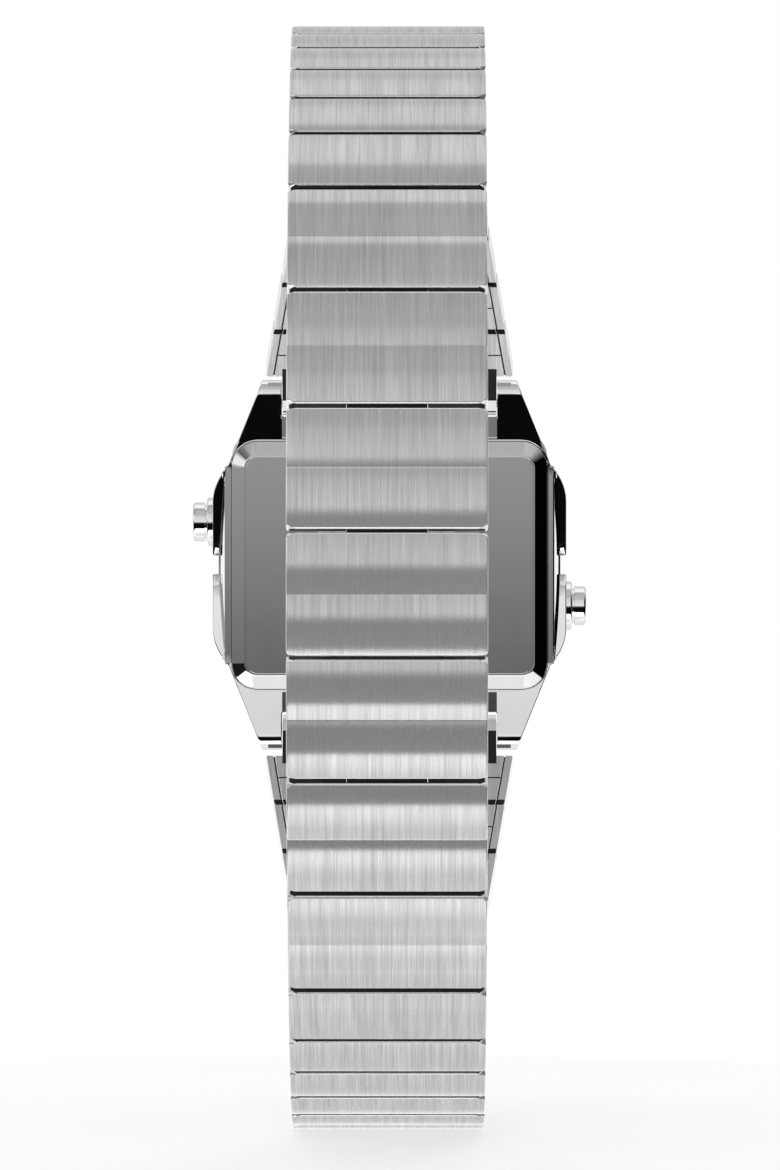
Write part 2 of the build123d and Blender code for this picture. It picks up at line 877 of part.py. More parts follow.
def pusher_collars():
    """Collar pressed into the case round each pusher, with a rounded outer edge."""
    seat_x = case_half_width - collar_seat
    length = collar_seat + collar_stand
    inner = cap_radius + running_fit
    rounding = (collar_radius - inner) / 2
    with BuildPart() as collars:
        for side in (1, -1):
            with BuildSketch(side_plane(side * seat_x)):
                with Locations((pusher_y, side * pusher_z)):
                    Circle(collar_radius - seat_gap)
                    Circle(inner, mode=Mode.SUBTRACT)
            extrude(amount=side * length)
        rims = collars.edges().filter_by(GeomType.CIRCLE).group_by(SortBy.RADIUS)[-1]
        outer_x = seat_x + length
        chamfer([rim for rim in rims if abs(abs(rim.center().X) - outer_x) < rounding], rounding)
    save(collars, "pusher_collars")


def pusher_seals():
    """O-ring round each stem, in its groove in the case wall."""
    with BuildPart() as seals:
        for side in (1, -1):
            with BuildSketch(side_plane(side * oring_middle_x())):
                with Locations((pusher_y, side * pusher_z)):
                    Circle(oring_radius)
                    Circle(stem_radius + running_fit, mode=Mode.SUBTRACT)
            extrude(amount=oring_width / 2, both=True)
    save(seals, "pusher_seals")


# Spring bars

def spring_bar(label, side, tip):
    """Spring bar along X: tube, flanged shoulders and a tip at each end."""
    tube = lug_gap / 2 - end_tongue_gap
    shoulder = tube - bar_neck - bar_flange_length
    with BuildPart() as bar:
        with BuildSketch(side_plane(0)):
            with Locations((bar_y, side * bar_z)):
                Circle(bar_tip_radius)
        extrude(amount=tube + tip, both=True)
        with BuildSketch(side_plane(0)):
            with Locations((bar_y, side * bar_z)):
                Circle(bar_radius)
        extrude(amount=shoulder, both=True)
        for end in (1, -1):
            with BuildSketch(side_plane(end * tube)):
                with Locations((bar_y, side * bar_z)):
                    Circle(bar_flange_radius)
            extrude(amount=-end * bar_flange_length)
    save(bar, label)


# Everything in its place

def joint_width(index):
    """Width of the bracelet at a joint, counted from the lugs."""
    return max(link_width, lug_link_width - taper_step * index)


def half_bracelet(name, side):
    """Links of one half, named and counted from the lugs."""
    singles = 0
    doubles = 0
    for index, (tilt, pitch) in enumerate(half_links):
        if pitch == single_pitch:
            singles += 1
            label = f"{name}_link_{singles:02d}"
        elif pitch == long_pitch:
            label = f"{name}_long_link"
        else:
            doubles += 1
            label = f"{name}_double_link_{doubles}"
        widths = (joint_width(index), joint_width(index + 1))
        is_first = index == 0
        is_last = side < 0 and index == len(half_links) - 1
        bracelet_link(label, hinges[index], tilt, side, pitch, widths, is_first, is_last)


mid_case()
case_back()
case_back_seal()
bezel()
crystal()
crystal_seal_ring()
display_mask()
lcd_panel()
module_frame()
circuit_board()
battery()
battery_clip()
pusher("pusher_2", 1)
pusher("pusher_8", -1)
pusher_spring("pusher_spring_2", 1)
pusher_spring("pusher_spring_8", -1)
pusher_collars()
pusher_seals()
spring_bar("spring_bar_12", 1, bar_tip_length)
spring_bar("spring_bar_6", -1, bar_tip_pressed)
half_bracelet("upper", 1)
half_bracelet("lower", -1)
bracelet_link("centre_link", hinges[-1], 0, 1, double_pitch, (link_width, link_width), last=True)
clasp_blade("clasp_blade_upper", 1)
clasp_blade("clasp_blade_lower", -1)
clasp_plate()

crown_z = max(z for _, z in hinges)
print(f"lug tilt {lug_tilt:.2f} deg, clasp side at Y {clasp_side_y:.2f}, highest hinge at Z {crown_z:.2f}")
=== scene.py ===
import json
import math

import bmesh
import bpy
from mathutils import Matrix, Vector

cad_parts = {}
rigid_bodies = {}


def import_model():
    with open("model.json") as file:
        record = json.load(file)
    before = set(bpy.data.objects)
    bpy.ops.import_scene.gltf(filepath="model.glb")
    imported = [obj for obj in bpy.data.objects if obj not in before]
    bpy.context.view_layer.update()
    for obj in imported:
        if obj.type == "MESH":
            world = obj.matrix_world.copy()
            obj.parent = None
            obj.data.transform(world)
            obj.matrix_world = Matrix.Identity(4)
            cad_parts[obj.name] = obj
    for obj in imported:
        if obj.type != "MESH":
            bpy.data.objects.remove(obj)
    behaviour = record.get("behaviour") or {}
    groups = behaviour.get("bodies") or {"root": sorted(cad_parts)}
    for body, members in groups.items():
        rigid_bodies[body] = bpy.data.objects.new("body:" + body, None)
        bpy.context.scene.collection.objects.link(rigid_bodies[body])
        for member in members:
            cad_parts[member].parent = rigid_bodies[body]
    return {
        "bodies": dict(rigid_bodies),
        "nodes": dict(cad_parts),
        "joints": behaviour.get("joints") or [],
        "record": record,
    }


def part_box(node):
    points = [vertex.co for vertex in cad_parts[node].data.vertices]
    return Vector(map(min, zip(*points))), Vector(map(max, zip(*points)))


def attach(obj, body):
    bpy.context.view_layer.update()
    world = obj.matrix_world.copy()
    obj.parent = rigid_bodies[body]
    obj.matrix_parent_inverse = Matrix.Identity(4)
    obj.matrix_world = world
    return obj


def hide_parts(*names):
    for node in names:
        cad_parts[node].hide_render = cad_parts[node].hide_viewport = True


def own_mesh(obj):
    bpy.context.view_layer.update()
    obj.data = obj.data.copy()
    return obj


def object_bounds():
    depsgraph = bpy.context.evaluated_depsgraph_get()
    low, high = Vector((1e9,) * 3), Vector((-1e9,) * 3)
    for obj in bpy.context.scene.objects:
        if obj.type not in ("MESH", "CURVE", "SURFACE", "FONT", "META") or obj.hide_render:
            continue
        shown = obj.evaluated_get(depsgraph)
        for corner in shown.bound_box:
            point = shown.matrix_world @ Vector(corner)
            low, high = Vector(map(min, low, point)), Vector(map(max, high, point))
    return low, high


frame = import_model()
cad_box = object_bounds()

# Sizes here are in millimetres and go into the meshes as metres.
MM = 0.001

# Bracelet link
LINK_HALF_THICKNESS = 1.1
HUMP_HEIGHT = 0.40
CREASE_RISE = 0.26
LINK_GAP = 0.08
CREASE_HALF = 0.1
HINGE_SETBACK = 0.95
END_TONGUE_REACH = 3.6
DOUBLE_PITCH = 10.45
KNUCKLE_RADIUS = 0.76
KNUCKLE_HALF_WIDTH = 3.4
POCKET_RADIUS = 0.86
POCKET_SIDE_GAP = 0.05
PIN_RADIUS = 0.4
PIN_SEAT = 0.6
BORE_GAP = 0.05
END_TONGUE_RADIUS = 1.12
BAR_RADIUS = 0.7
LUG_GAP = 20.0
END_TONGUE_GAP = 0.2
TONGUE_SIDE_GAP = 0.06
LINK_CORNER = 0.42
CORNER_CUT = 0.34
CORNER_CUT_DROP = 0.7
LINK_BEVEL = 0.15
INNER_RELIEF = 0.26
INNER_RELIEF_HEIGHT = 1.0
LIP_WIDTH = 0.66
LIP_GROOVE = 0.16
LIP_GROOVE_DEPTH = 0.22
SEAM_WIDTH = 0.14
SEAM_DEPTH = 0.18
TOP_MARGIN = 2.5
EDGE_ANGLES = (0, 22.5, 45, 67.5, 90)
CORNER_ANGLES = (50, 62, 76, 90)
DOUBLE_STATIONS = 36
SINGLE_STATIONS = 20
BRUSH_SHIFT = 23.0
CHAIN_KINDS = ("upper_link", "upper_long", "upper_double", "centre_link")

# Which faces of a link in its joints get painted shade: of the end faces, the pocket and the lip groove
END_FACE_REACH = 0.04
END_FACE_TOP = 1.02
POCKET_SPAN = (1.8, 0.1)
POCKET_HALF_WIDTH = 3.6
POCKET_HALF_HEIGHT = 1.05
GROOVE_TOP = -0.8
GROOVE_FLOOR = -1.0

# Clasp
SPLIT_Z = -DOUBLE_PITCH / 2
SPLIT_HALF_ANGLE = 5.8
BLADE_LENGTH = 11.5
BLADE_HALF_WIDTH = 4.5
BLADE_THICKNESS = 0.7
CLASP_PIN_RADIUS = 0.4
CLASP_EYE_RADIUS = 0.66
CLASP_PIN_SETBACK = 1.2
CLASP_PIN_DEPTH = 1.95
CLASP_FAR_DEPTH = 3.85
BLADE_MID_DEPTH = 2.62
PLATE_MID_DEPTH = 3.2
PLATE_THICKNESS = 0.7
PLATE_GAP = 0.08
EAR_GAP = 0.15
EAR_WIDTH = 1.2
EAR_ROOT = -0.9
EAR_PIN_STAND = 0.04
BLADE_EDGE = 0.06
PLATE_EDGE = 0.08

# Case
FIT = 0.05
SEAT_GAP = 0.02
WELD = 1e-4
FAR = 30.0
BOW_STEPS = 16
CASE_HALF_WIDTH = 16.5
WING_TOP_Z = 6.0
WING_BULGE_IN = 0.4
WING_BULGE_Z = 7.75
SHOULDER_IN = 1.4
SHOULDER_Z = 9.2
LUG_ROOT_WIDTH = 2.3
LUG_ROOT_Z = 16.0
LUG_TIP_WIDTH = 1.87
LUG_TIP_Z = 17.25
NOTCH_HALF = 0.86
NOTCH_DEPTH = 0.65
CASE_END_Z = 13.8
RECESS_Z = 11.8
RECESS_Y = -3.6
RECESS_LEAN = 0.6
CASE_FRONT_Y = -7.3
CASE_FRONT_Z = 12.6
LUG_FRONT_Y = -3.6
BACK_RADIUS = 60.0
LUG_ROUND = 1.3
CASE_EDGE = 0.13
LUG_SLOT_WIDTH = 1.3
LUG_SLOT_HEIGHT = 0.37
LUG_SLOT_Z = 16.84
LUG_SLOT_Y = -0.75


def framed(sizes, sides, ends, corner):
    """Rounded rectangle inside a rim, whose width at the sides may differ from that at the ends."""
    return (sizes[0] - 2 * sides, sizes[1] - 2 * ends, corner)


# Rounded rectangles of the head: width, height and corner radius. A framed one is given by the
# rim round it.
CAVITY = (26.2, 19.8, 3.0)
PANEL = (29.4, 23.1, 2.45)
PANEL_FLAT = framed(PANEL, 1.15, 1.3, 1.2)
BEZEL = (29.6, 24.9, 2.6)
BEZEL_CREST = framed(BEZEL, 0.9, 0.75, 2.0)
WINDOW = framed(BEZEL, 3.5, 3.65, 1.2)
CRYSTAL = framed(WINDOW, -0.9, -0.9, 2.0)

# Case back
PANEL_RISE = 0.95
PANEL_SEAT = 0.4
PANEL_WALL = 1.1
PANEL_EDGE = 0.06
PANEL_CREST_DROP = 0.004
PAD_RIM = 0.6
PAD_HEIGHT = 18.4
PAD_DRAFT = 0.5
PAD_FOOT = 0.02
PAD_ROOT_IN = 1.0
PAD_ROOT_DEPTH = 0.5
PAD_STEPS = 20
SPIGOT_WALL = 0.5
SPIGOT_DEPTH = 1.0
BORDER_IN = 0.1
BORDER_WIDTH = 0.09
BORDER_DEPTH = 0.05
BORDER_SLOPE = 0.02

# Bezel, crystal and display. A row is its text, its lower left corner and its height; a frame of
# the mask is its width, height and wall.
BEZEL_THICKNESS = 1.3
CRYSTAL_THICKNESS = 1.2
CRYSTAL_STAND = 0.35
CRYSTAL_GAP = 0.42
PANE_EDGE = ((0.85, 0.02), (1, 0.0), (2, 0.0))
LCD_FRONT_Y = -6.98
MASK_FRONT_Y = -7.28
INK_STANDS = (0.035, 0.005)
DIGIT_ROWS = (("10:58", (-8.4, -3.6), 4.3), ("36", (5.3, -3.6), 2.3), ("6-28", (-8.4, 2.2), 1.7))
DIGIT_WIDTH = 0.52
DIGIT_STROKE = 0.14
DIGIT_LEAN = 0.06
SEGMENT_GAP = 0.12
DIGIT_SPACE = 1.5
COLON_HEIGHTS = (0.28, 0.72)
COLON_PITCH = 1.6
DOT_CORNER = 0.2
RULE_X = (-8.4, 8.6)
RULE_Z = (1.35, 1.5)
PRINT_STANDS = (0.01, 0.03)
MASK_CORNER = 0.35
MASK_INNER_CORNER = 0.25
MASK_FRAMES = ((18.7, 10.1, 0.16), (21.4, 16.2, 0.22))

# Pushers: each one's hour and side, then sizes. The clip is placed from the cavity's wall, the
# neck from its start and the steps of the cap's rim from its end and its edge.
PUSHER_SIDES = ((2, 1), (8, -1))
PUSHER_Z = 3.92
PUSHER_Y = -4.55
CAP_RADIUS = 1.85
CAP_REACH = 1.88
CAP_DOME = 0.12
CAP_SINK = 0.5
CAP_RIM = 0.3
COUNTERBORE = 1.6
COLLAR_RADIUS = 2.33
COLLAR_STAND = 0.55
COLLAR_SEAT = 0.6
COLLAR_CHAMFER = 0.06
STEM_RADIUS = 0.65
CLIP_RADIUS = 1.2
CLIP_PLACES = (0.55, 0.3, 0.05)
NECK_GAP = 0.04
NECK_DEPTH = 0.22
NECK_FLOOR = (0.02, 0.13)
NECK_END = (0.15, 0.18)
NECK_CHAMFER = 0.02
RIM_STEPS = ((0.03, 0.06), (0.06, 0.1), (0.02, 0.15))
DOME_SHARES = (0.85, 0.65, 0.45, 0.25, 0.1, 0.001)
AXIS = 0.001
COIL_RADIUS = 1.28
COIL_WIRE = 0.13
COIL_TURNS = 2.5
COIL_PLAY = 0.03
COIL_STEPS = 90

# Spring bars
BAR_Y = -1.35
BAR_Z = 15.1
BAR_TIP_RADIUS = 0.4
BAR_TIP_LENGTH = 1.3
BAR_TIP_PRESSED = 0.12
BAR_FLANGE_RADIUS = 0.6
BAR_FLANGE_LENGTH = 0.3
BAR_NECK = 0.35
LUG_HOLE_DEPTH = 1.7

# Camera: one millimetre is F / distance pixels of the 1170 pixel frame height
FOCAL_PIXELS = 8993.0
FRAME_HEIGHT_PIXELS = 1170.0
SENSOR_HEIGHT = 36.0
CAMERA_DISTANCE = 755.0
CAMERA_X = -2.14
CAMERA_Z = 25.0
AIM_X = -0.252
AIM_Z = 0.798
CAMERA_RANGE = 10.0

# Floor
FLOOR_RADIUS = 78.0
FLOOR_DROP = 0.2
FLOOR_LIFT = 0.5

# Fill light
FILL_STRENGTH = 1.0
FILL_ELEVATION = 35
FILL_SPREAD = 60

# Finishes: streaks of the brushed steel, then the mottling and grain of the others
WIDE_STREAKS = (2.2, 0.08, 1)
FINE_STREAKS = (8.0, 0.11, 1)
FINE_SHARE = 0.65
STREAK_RANGE = (0.39, 0.61)
STREAK_GREYS = (0.56, 0.77)
STREAK_METALLIC = (0.47, 0.62)
STREAK_ROUGHNESS = (0.25, 0.28)
STREAK_BUMP = 0.12
STREAK_DEPTH = 0.02
STREAK_ANISOTROPY = 0.95
NOISE_ROUGHNESS = 0.6
STEEL_MOTTLE = 0.04
SOLID_MOTTLE = 0.15
GRAIN_DEPTH = 0.01


# Meshes

def new_object(name, mesh):
    piece = bpy.data.objects.new(name, mesh)
    bpy.context.scene.collection.objects.link(piece)
    return piece


def mesh_from_loops(loops, ends="caps"):
    """Skin over closed loops of equally many points; its ends are caps, open or joined."""
    work = bmesh.new()
    rings = [[work.verts.new(point) for point in loop] for loop in loops]
    count = len(rings[0])
    for near, far in zip(rings, rings[1:]):
        for i in range(count):
            j = (i + 1) % count
            work.faces.new((near[i], near[j], far[j], far[i]))
    if ends == "caps":
        work.faces.new(rings[0][::-1])
        work.faces.new(rings[-1])
    if ends == "joined":
        bmesh.ops.remove_doubles(work, verts=work.verts, dist=WELD)
    bmesh.ops.recalc_face_normals(work, faces=work.faces)
    mesh = bpy.data.meshes.new("part")
    work.to_mesh(mesh)
    work.free()
    return mesh


def prism(outline, half_width):
    """Solid from a closed (s, n) outline, extruded both ways across."""
    return mesh_from_loops([[(s, x, n) for s, n in outline] for x in (-half_width, half_width)])


def arc(centre, radius, start, end, steps):
    """Points on a circle from one angle to another, in degrees."""
    turns = [math.radians(start + (end - start) * i / steps) for i in range(steps + 1)]
    return [(centre[0] + radius * math.cos(t), centre[1] + radius * math.sin(t)) for t in turns]


def modified(mesh, kind, **settings):
    """Mesh with one modifier applied."""
    target = new_object("target", mesh)
    modifier = target.modifiers.new("step", kind)
    for name, value in settings.items():
        setattr(modifier, name, value)
    graph = bpy.context.evaluated_depsgraph_get()
    result = bpy.data.meshes.new_from_object(target.evaluated_get(graph))
    bpy.data.objects.remove(target)
    return result


def combine(mesh, *steps):
    """Exact booleans on a mesh, one (operation, other mesh) after another."""
    for operation, other in steps:
        tool = new_object("tool", other)
        mesh = modified(mesh, "BOOLEAN", object=tool, operation=operation, solver="EXACT")
        bpy.data.objects.remove(tool)
    return mesh


def soften(mesh, width, segments=3, angle=30):
    """Round the edges sharper than an angle."""
    mesh.shade_smooth()
    settings = {"width": width, "segments": segments, "use_clamp_overlap": False, "harden_normals": True}
    return modified(mesh, "BEVEL", limit_method="ANGLE", angle_limit=math.radians(angle), **settings)


def flat_faces_true(mesh):
    """Shading that follows the large faces, so that they mirror as flat."""
    return modified(mesh, "WEIGHTED_NORMAL", keep_sharp=True, weight=100)


# Bracelet links, in a link's own frame: s along it, x across, n outwards

def hump(s, start, end, is_double):
    """Height of the outer face above the link's middle plane."""
    if is_double:
        middle = (start + end) / 2
        span = middle - start
        away = abs(s - middle)
        share = 1 - max(away, CREASE_HALF) / span
        chord = CREASE_RISE * share
        if away < CREASE_HALF:
            slope = (4 * HUMP_HEIGHT - CREASE_RISE) / span
            chord -= slope * CREASE_HALF / 2 * (1 - (away / CREASE_HALF) ** 2)
    else:
        share = (s - start) / (end - start)
        chord = 0.0
    return LINK_HALF_THICKNESS + chord + 4 * HUMP_HEIGHT * share * (1 - share)


def link_stations(start, end, is_double):
    """Places of the cross sections along a link, dense at the ends."""
    near = [LINK_BEVEL * (1 - math.cos(math.radians(a))) for a in EDGE_ANGLES]
    corner = [LINK_CORNER * (1 - math.cos(math.radians(a))) for a in CORNER_ANGLES]
    ends = near + [c for c in corner if c > LINK_BEVEL * 1.15]
    ends += [CORNER_CUT * 0.75, CORNER_CUT, INNER_RELIEF]
    middle = (start + end) / 2
    seam = [middle + SEAM_WIDTH * share for share in (-0.5, -0.35, 0.35, 0.5)]
    if is_double:
        seam += [middle + CREASE_HALF * share for share in (-1, -0.85, -0.2, 0.2, 0.85, 1)]
    first, last = start + CORNER_CUT, end - CORNER_CUT
    count = DOUBLE_STATIONS if is_double else SINGLE_STATIONS
    inner = [first + (last - first) * i / count for i in range(1, count)]
    inner = [s for s in inner if abs(s - middle) > CREASE_HALF * 1.2]
    places = [start + e for e in ends] + inner + seam + [middle] + [end - e for e in ends]
    return sorted(set(round(p, 5) for p in places))


def round_off(radius, from_end):
    """How much a rounded edge takes away at a distance from its end."""
    inside = min(1.0, max(0.0, 1 - from_end / radius))
    return radius * (1 - math.sqrt(1 - inside ** 2))


def link_section(s, start, end, half_width, is_double):
    """Closed loop of a link's cross section at one station."""
    from_end = min(s - start, end - s)
    width = half_width - round_off(LINK_CORNER, from_end)
    top = hump(s, start, end, is_double) - round_off(LINK_BEVEL, from_end)
    relief = max(0.0, 1 - from_end / INNER_RELIEF) * INNER_RELIEF_HEIGHT
    bottom = -LINK_HALF_THICKNESS + relief
    in_seam = abs(s - (start + end) / 2) < SEAM_WIDTH * 0.4
    panel = bottom + (SEAM_DEPTH if in_seam else 0.0)
    cut = max(0.0, CORNER_CUT - from_end)
    side = [(width - TOP_MARGIN, top), (width - LINK_BEVEL * 2 - cut, top)]
    flat = cut / CORNER_CUT
    for step, angle in enumerate(EDGE_ANGLES):
        turn = math.radians(angle)
        across = (1 - flat) * math.sin(turn) + flat * step / 4
        down = (1 - flat) * (1 - math.cos(turn)) + flat * step / 4
        x = width - cut - LINK_BEVEL + (cut + LINK_BEVEL) * across
        side.append((x, top - (cut * CORNER_CUT_DROP + LINK_BEVEL) * down))
    side += arc((width - LINK_BEVEL, bottom + LINK_BEVEL), LINK_BEVEL, 0, -90, 4)
    lip = width - LIP_WIDTH
    side += [
        (lip + LIP_GROOVE * 0.2, bottom), (lip, bottom + LIP_GROOVE * 0.2),
        (lip, bottom + LIP_GROOVE_DEPTH), (lip - LIP_GROOVE, bottom + LIP_GROOVE_DEPTH),
        (lip - LIP_GROOVE, panel + LIP_GROOVE * 0.2), (lip - LIP_GROOVE * 1.2, panel),
    ]
    return [(s, x, n) for x, n in side] + [(s, -x, n) for x, n in side[::-1]]


def link_body(start, end, widths, is_double):
    loops = []
    for s in link_stations(start, end, is_double):
        share = (s - start) / (end - start)
        half_width = (widths[0] + (widths[1] - widths[0]) * share) / 2
        loops.append(link_section(s, start, end, half_width, is_double))
    return mesh_from_loops(loops)


def barrel(centre, root, radius, half_width):
    """Round knuckle about a hinge with a web back to its link at root."""
    side = [(root, radius), (centre + radius, radius)]
    outline = side + arc((centre, 0), radius, 90, 270, 24) + [(s, -n) for s, n in side[::-1]]
    return prism(outline, half_width)


def rod(s, n, radius, half_width, steps=32):
    return prism(arc((s, n), radius, 0, 360, steps)[:-1], half_width)


def box_mesh(s_span, n_span, half_width):
    (s0, s1), (n0, n1) = s_span, n_span
    return prism([(s0, n0), (s1, n0), (s1, n1), (s0, n1)], half_width)


def link_mesh(pitch, widths, is_first, is_last):
    """One link: humped body with a pocket and pin at one end and a knuckle at the other."""
    setback = END_TONGUE_REACH if is_first else HINGE_SETBACK
    start = setback + LINK_GAP / 2
    end = setback + pitch - LINK_GAP / 2
    next_hinge = setback + pitch - HINGE_SETBACK
    is_double = pitch > DOUBLE_PITCH - LINK_GAP
    knuckle = END_TONGUE_RADIUS if is_first else KNUCKLE_RADIUS
    half_width = LUG_GAP / 2 - TONGUE_SIDE_GAP if is_first else KNUCKLE_HALF_WIDTH
    bore = (BAR_RADIUS if is_first else PIN_RADIUS) + BORE_GAP
    steps = []
    if not is_last:
        pocket_half = KNUCKLE_HALF_WIDTH + POCKET_SIDE_GAP
        pocket = box_mesh((next_hinge - POCKET_RADIUS, end + pitch), (-pitch, POCKET_RADIUS), pocket_half)
        steps.append(("DIFFERENCE", pocket))
        steps.append(("UNION", rod(next_hinge, 0, PIN_RADIUS, pocket_half + PIN_SEAT)))
    steps.append(("UNION", barrel(0, start + knuckle, knuckle, half_width)))
    steps.append(("DIFFERENCE", rod(0, 0, bore, half_width + 1)))
    return combine(link_body(start, end, widths, is_double), *steps)


def finish_link(mesh, offset, ends):
    """Brushing coordinates in millimetres, and slots: brushed, edges, painted shade in the joints, mirror.
    """
    layer = mesh.uv_layers.new(name="brush")
    start, end = ends
    has_tongue = start > END_TONGUE_REACH
    for face in mesh.polygons:
        normal = face.normal
        s, x, n = face.center
        from_end = min(s - start, end - s)
        end_face = abs(from_end) < END_FACE_REACH and abs(normal.x) > 0.7 and n < END_FACE_TOP
        on_knuckle = s < start and not has_tongue and normal.z > 0.3
        in_span = end - POCKET_SPAN[0] < s < end - POCKET_SPAN[1]
        in_pocket = in_span and abs(x) < POCKET_HALF_WIDTH and abs(n) < POCKET_HALF_HEIGHT
        in_relief = 0 < from_end < INNER_RELIEF and normal.z < -0.1 and abs(normal.x) > 0.15
        groove_floor = n > GROOVE_FLOOR and normal.z < -0.9
        groove_wall = from_end > INNER_RELIEF and abs(normal.x) > 0.9
        in_groove = n < GROOVE_TOP and (groove_floor or groove_wall)
        face.material_index = 0 if abs(normal.z) > 0.9 else 1
        # Painted shade: faces in the joints, the relief and the lip groove get near-black colour where shade
        # falls
        if end_face or on_knuckle or in_pocket or in_relief or in_groove:
            face.material_index = 2
        # On the first link's tongue, all but its barrel and the faces looking straight out get painted shade
        if s < start and has_tongue:
            on_barrel = s < END_TONGUE_RADIUS and abs(normal.y) < 0.9
            face.material_index = 3 if on_barrel else 0 if normal.z > 0.9 else 2
        for index in face.loop_indices:
            s, x, n = mesh.vertices[mesh.loops[index].vertex_index].co
            across = n if abs(normal.y) > 0.8 else x
            along = n if abs(normal.x) > 0.8 else s
            layer.data[index].uv = (across, along + offset)
    mesh.shade_smooth()
    mesh.set_sharp_from_angle(angle=math.radians(24))


def link_matrix(hinge, next_hinge, is_lower):
    """From a link's own frame to the row frame, both in millimetres."""
    along = (next_hinge - hinge).normalized()
    across = Vector((1, 0, 0))
    columns = Matrix((along, across, across.cross(along))).transposed().to_4x4()
    place = Matrix.Translation(hinge / MM) @ columns
    return Matrix.Diagonal((1, 1, -1, 1)) @ place if is_lower else place


def upper_chain():
    """Upper links from the lug to the middle link, with their hinges."""
    hinges = {j["child"]: Vector(j["pos_m"]) for j in frame["joints"] if j["name"].endswith("_hinge")}
    names = [name for name in frame["bodies"] if name.startswith("upper_") or name == "centre_link"]
    names.sort(key=chain_place)
    return [(name, hinges[name]) for name in names]


def chain_place(name):
    """Order of a link's name along the bracelet, from the lugs."""
    words = name.split("_")
    return CHAIN_KINDS.index("_".join(words[:2])), words[-1]


def node_width(node):
    low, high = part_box(node)
    return (high.x - low.x) / MM


shapes = {}


def link_shape(pitch, widths, is_first, is_last):
    key = (round(pitch, 2), round(widths[0], 2), round(widths[1], 2), is_first, is_last)
    if key not in shapes:
        shapes[key] = link_mesh(pitch, widths, is_first, is_last)
    return shapes[key]


def place_link(node, shape, matrix, number, materials, pitch, is_first):
    mesh = shape.copy()
    setback = END_TONGUE_REACH if is_first else HINGE_SETBACK
    ends = (setback + LINK_GAP / 2, setback + pitch - LINK_GAP / 2)
    finish_link(mesh, number * BRUSH_SHIFT, ends)
    mesh.transform(matrix)
    if matrix.determinant() < 0:
        mesh.flip_normals()
    piece = place_piece(node + "_shell", mesh, node, "bracelet_steel", materials, node, sharp=None)
    piece.visible_glossy = False


def build_bracelet(materials):
    chain = upper_chain()
    widths = [node_width(name) for name, _ in chain]
    end_of_chain = chain[-1][1] + Vector((0, 0, -1))
    number = 0
    for index, (name, hinge) in enumerate(chain):
        is_first = index == 0
        is_centre = name == "centre_link"
        next_hinge = end_of_chain if is_centre else chain[index + 1][1]
        pitch = DOUBLE_PITCH if is_centre else (next_hinge - hinge).length / MM
        if is_first:
            pitch -= END_TONGUE_REACH - HINGE_SETBACK
        pair = (widths[index], widths[min(index + 1, len(widths) - 1)])
        sides = [(name, False, is_centre)]
        if not is_centre:
            sides.append((name.replace("upper", "lower"), True, index == len(chain) - 2))
        for node, is_lower, is_last in sides:
            number += 1
            shape = link_shape(pitch, pair, is_first, is_last)
            matrix = link_matrix(hinge, next_hinge, is_lower)
            place_link(node, shape, matrix, number, materials, pitch, is_first)


# Outlines and solids of the head, in the row frame and in millimetres

def rounded_rect(width, height, corner, steps=10):
    """Rounded rectangle about the origin, corner by corner."""
    points = []
    for quarter, (x_sign, z_sign) in enumerate(((1, 1), (-1, 1), (-1, -1), (1, -1))):
        centre = (x_sign * (width / 2 - corner), z_sign * (height / 2 - corner))
        points += arc(centre, corner, 90 * quarter, 90 * quarter + 90, steps)
    return points


def arc_through(a, b, c, steps):
    """Points of the arc under a half circle from a through b to c."""
    (ax, az), (bx, bz), (cx, cz) = a, b, c
    a2, b2, c2 = ax * ax + az * az, bx * bx + bz * bz, cx * cx + cz * cz
    twice = 2 * (ax * (bz - cz) + bx * (cz - az) + cx * (az - bz))
    mx = (a2 * (bz - cz) + b2 * (cz - az) + c2 * (az - bz)) / twice
    mz = (a2 * (cx - bx) + b2 * (ax - cx) + c2 * (bx - ax)) / twice
    start = math.degrees(math.atan2(az - mz, ax - mx))
    turn = (math.degrees(math.atan2(cz - mz, cx - mx)) - start + 180) % 360 - 180
    return arc((mx, mz), math.hypot(ax - mx, az - mz), start, start + turn, steps)


def slab(outline, y_start, y_end):
    """Solid between two depths from an outline in x and z."""
    return mesh_from_loops([[(x, y, z) for x, z in outline] for y in (y_start, y_end)])


def side_slab(outline, x_start, x_end):
    """Solid between two x places from an outline in y and z."""
    return mesh_from_loops([[(x, y, z) for y, z in outline] for x in (x_start, x_end)])


def block(x_span, y_span, z_span):
    (x0, x1), (z0, z1) = x_span, z_span
    return slab([(x0, z0), (x1, z0), (x1, z1), (x0, z1)], *y_span)


def inset(sizes, amount, y, corner_share=1.0):
    """Rounded rectangle a little inside another, or outside where the amount is negative."""
    width, height, corner = sizes
    return (width - 2 * amount, height - 2 * amount, corner - amount * corner_share, y)


def ring_stack(rings, ends="caps"):
    """Solid over rounded rectangles given as (width, height, corner, y)."""
    loops = [[(x, y, z) for x, z in rounded_rect(w, h, c)] for w, h, c, y in rings]
    return mesh_from_loops(loops, ends)


def lathe(profile, y, z, steps=64, ends="caps"):
    """Solid turned about an axis along X, from (x, radius) pairs."""
    loops = []
    for x, radius in profile:
        loops.append([(x, y + dy, z + dz) for dy, dz in arc((0, 0), radius, 0, 360, steps)[:-1]])
    return mesh_from_loops(loops, ends)


def place_piece(name, mesh, body, slot, materials, *nodes, sharp=30):
    """Piece made from millimetres into metres, riding on its body."""
    mesh.transform(Matrix.Scale(MM, 4))
    for material in materials:
        mesh.materials.append(material)
    if sharp:
        mesh.shade_smooth()
        mesh.set_sharp_from_angle(angle=math.radians(sharp))
        mesh = flat_faces_true(mesh)
    piece = new_object(name, mesh)
    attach(piece, body)
    if nodes:
        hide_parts(*nodes)
    return piece


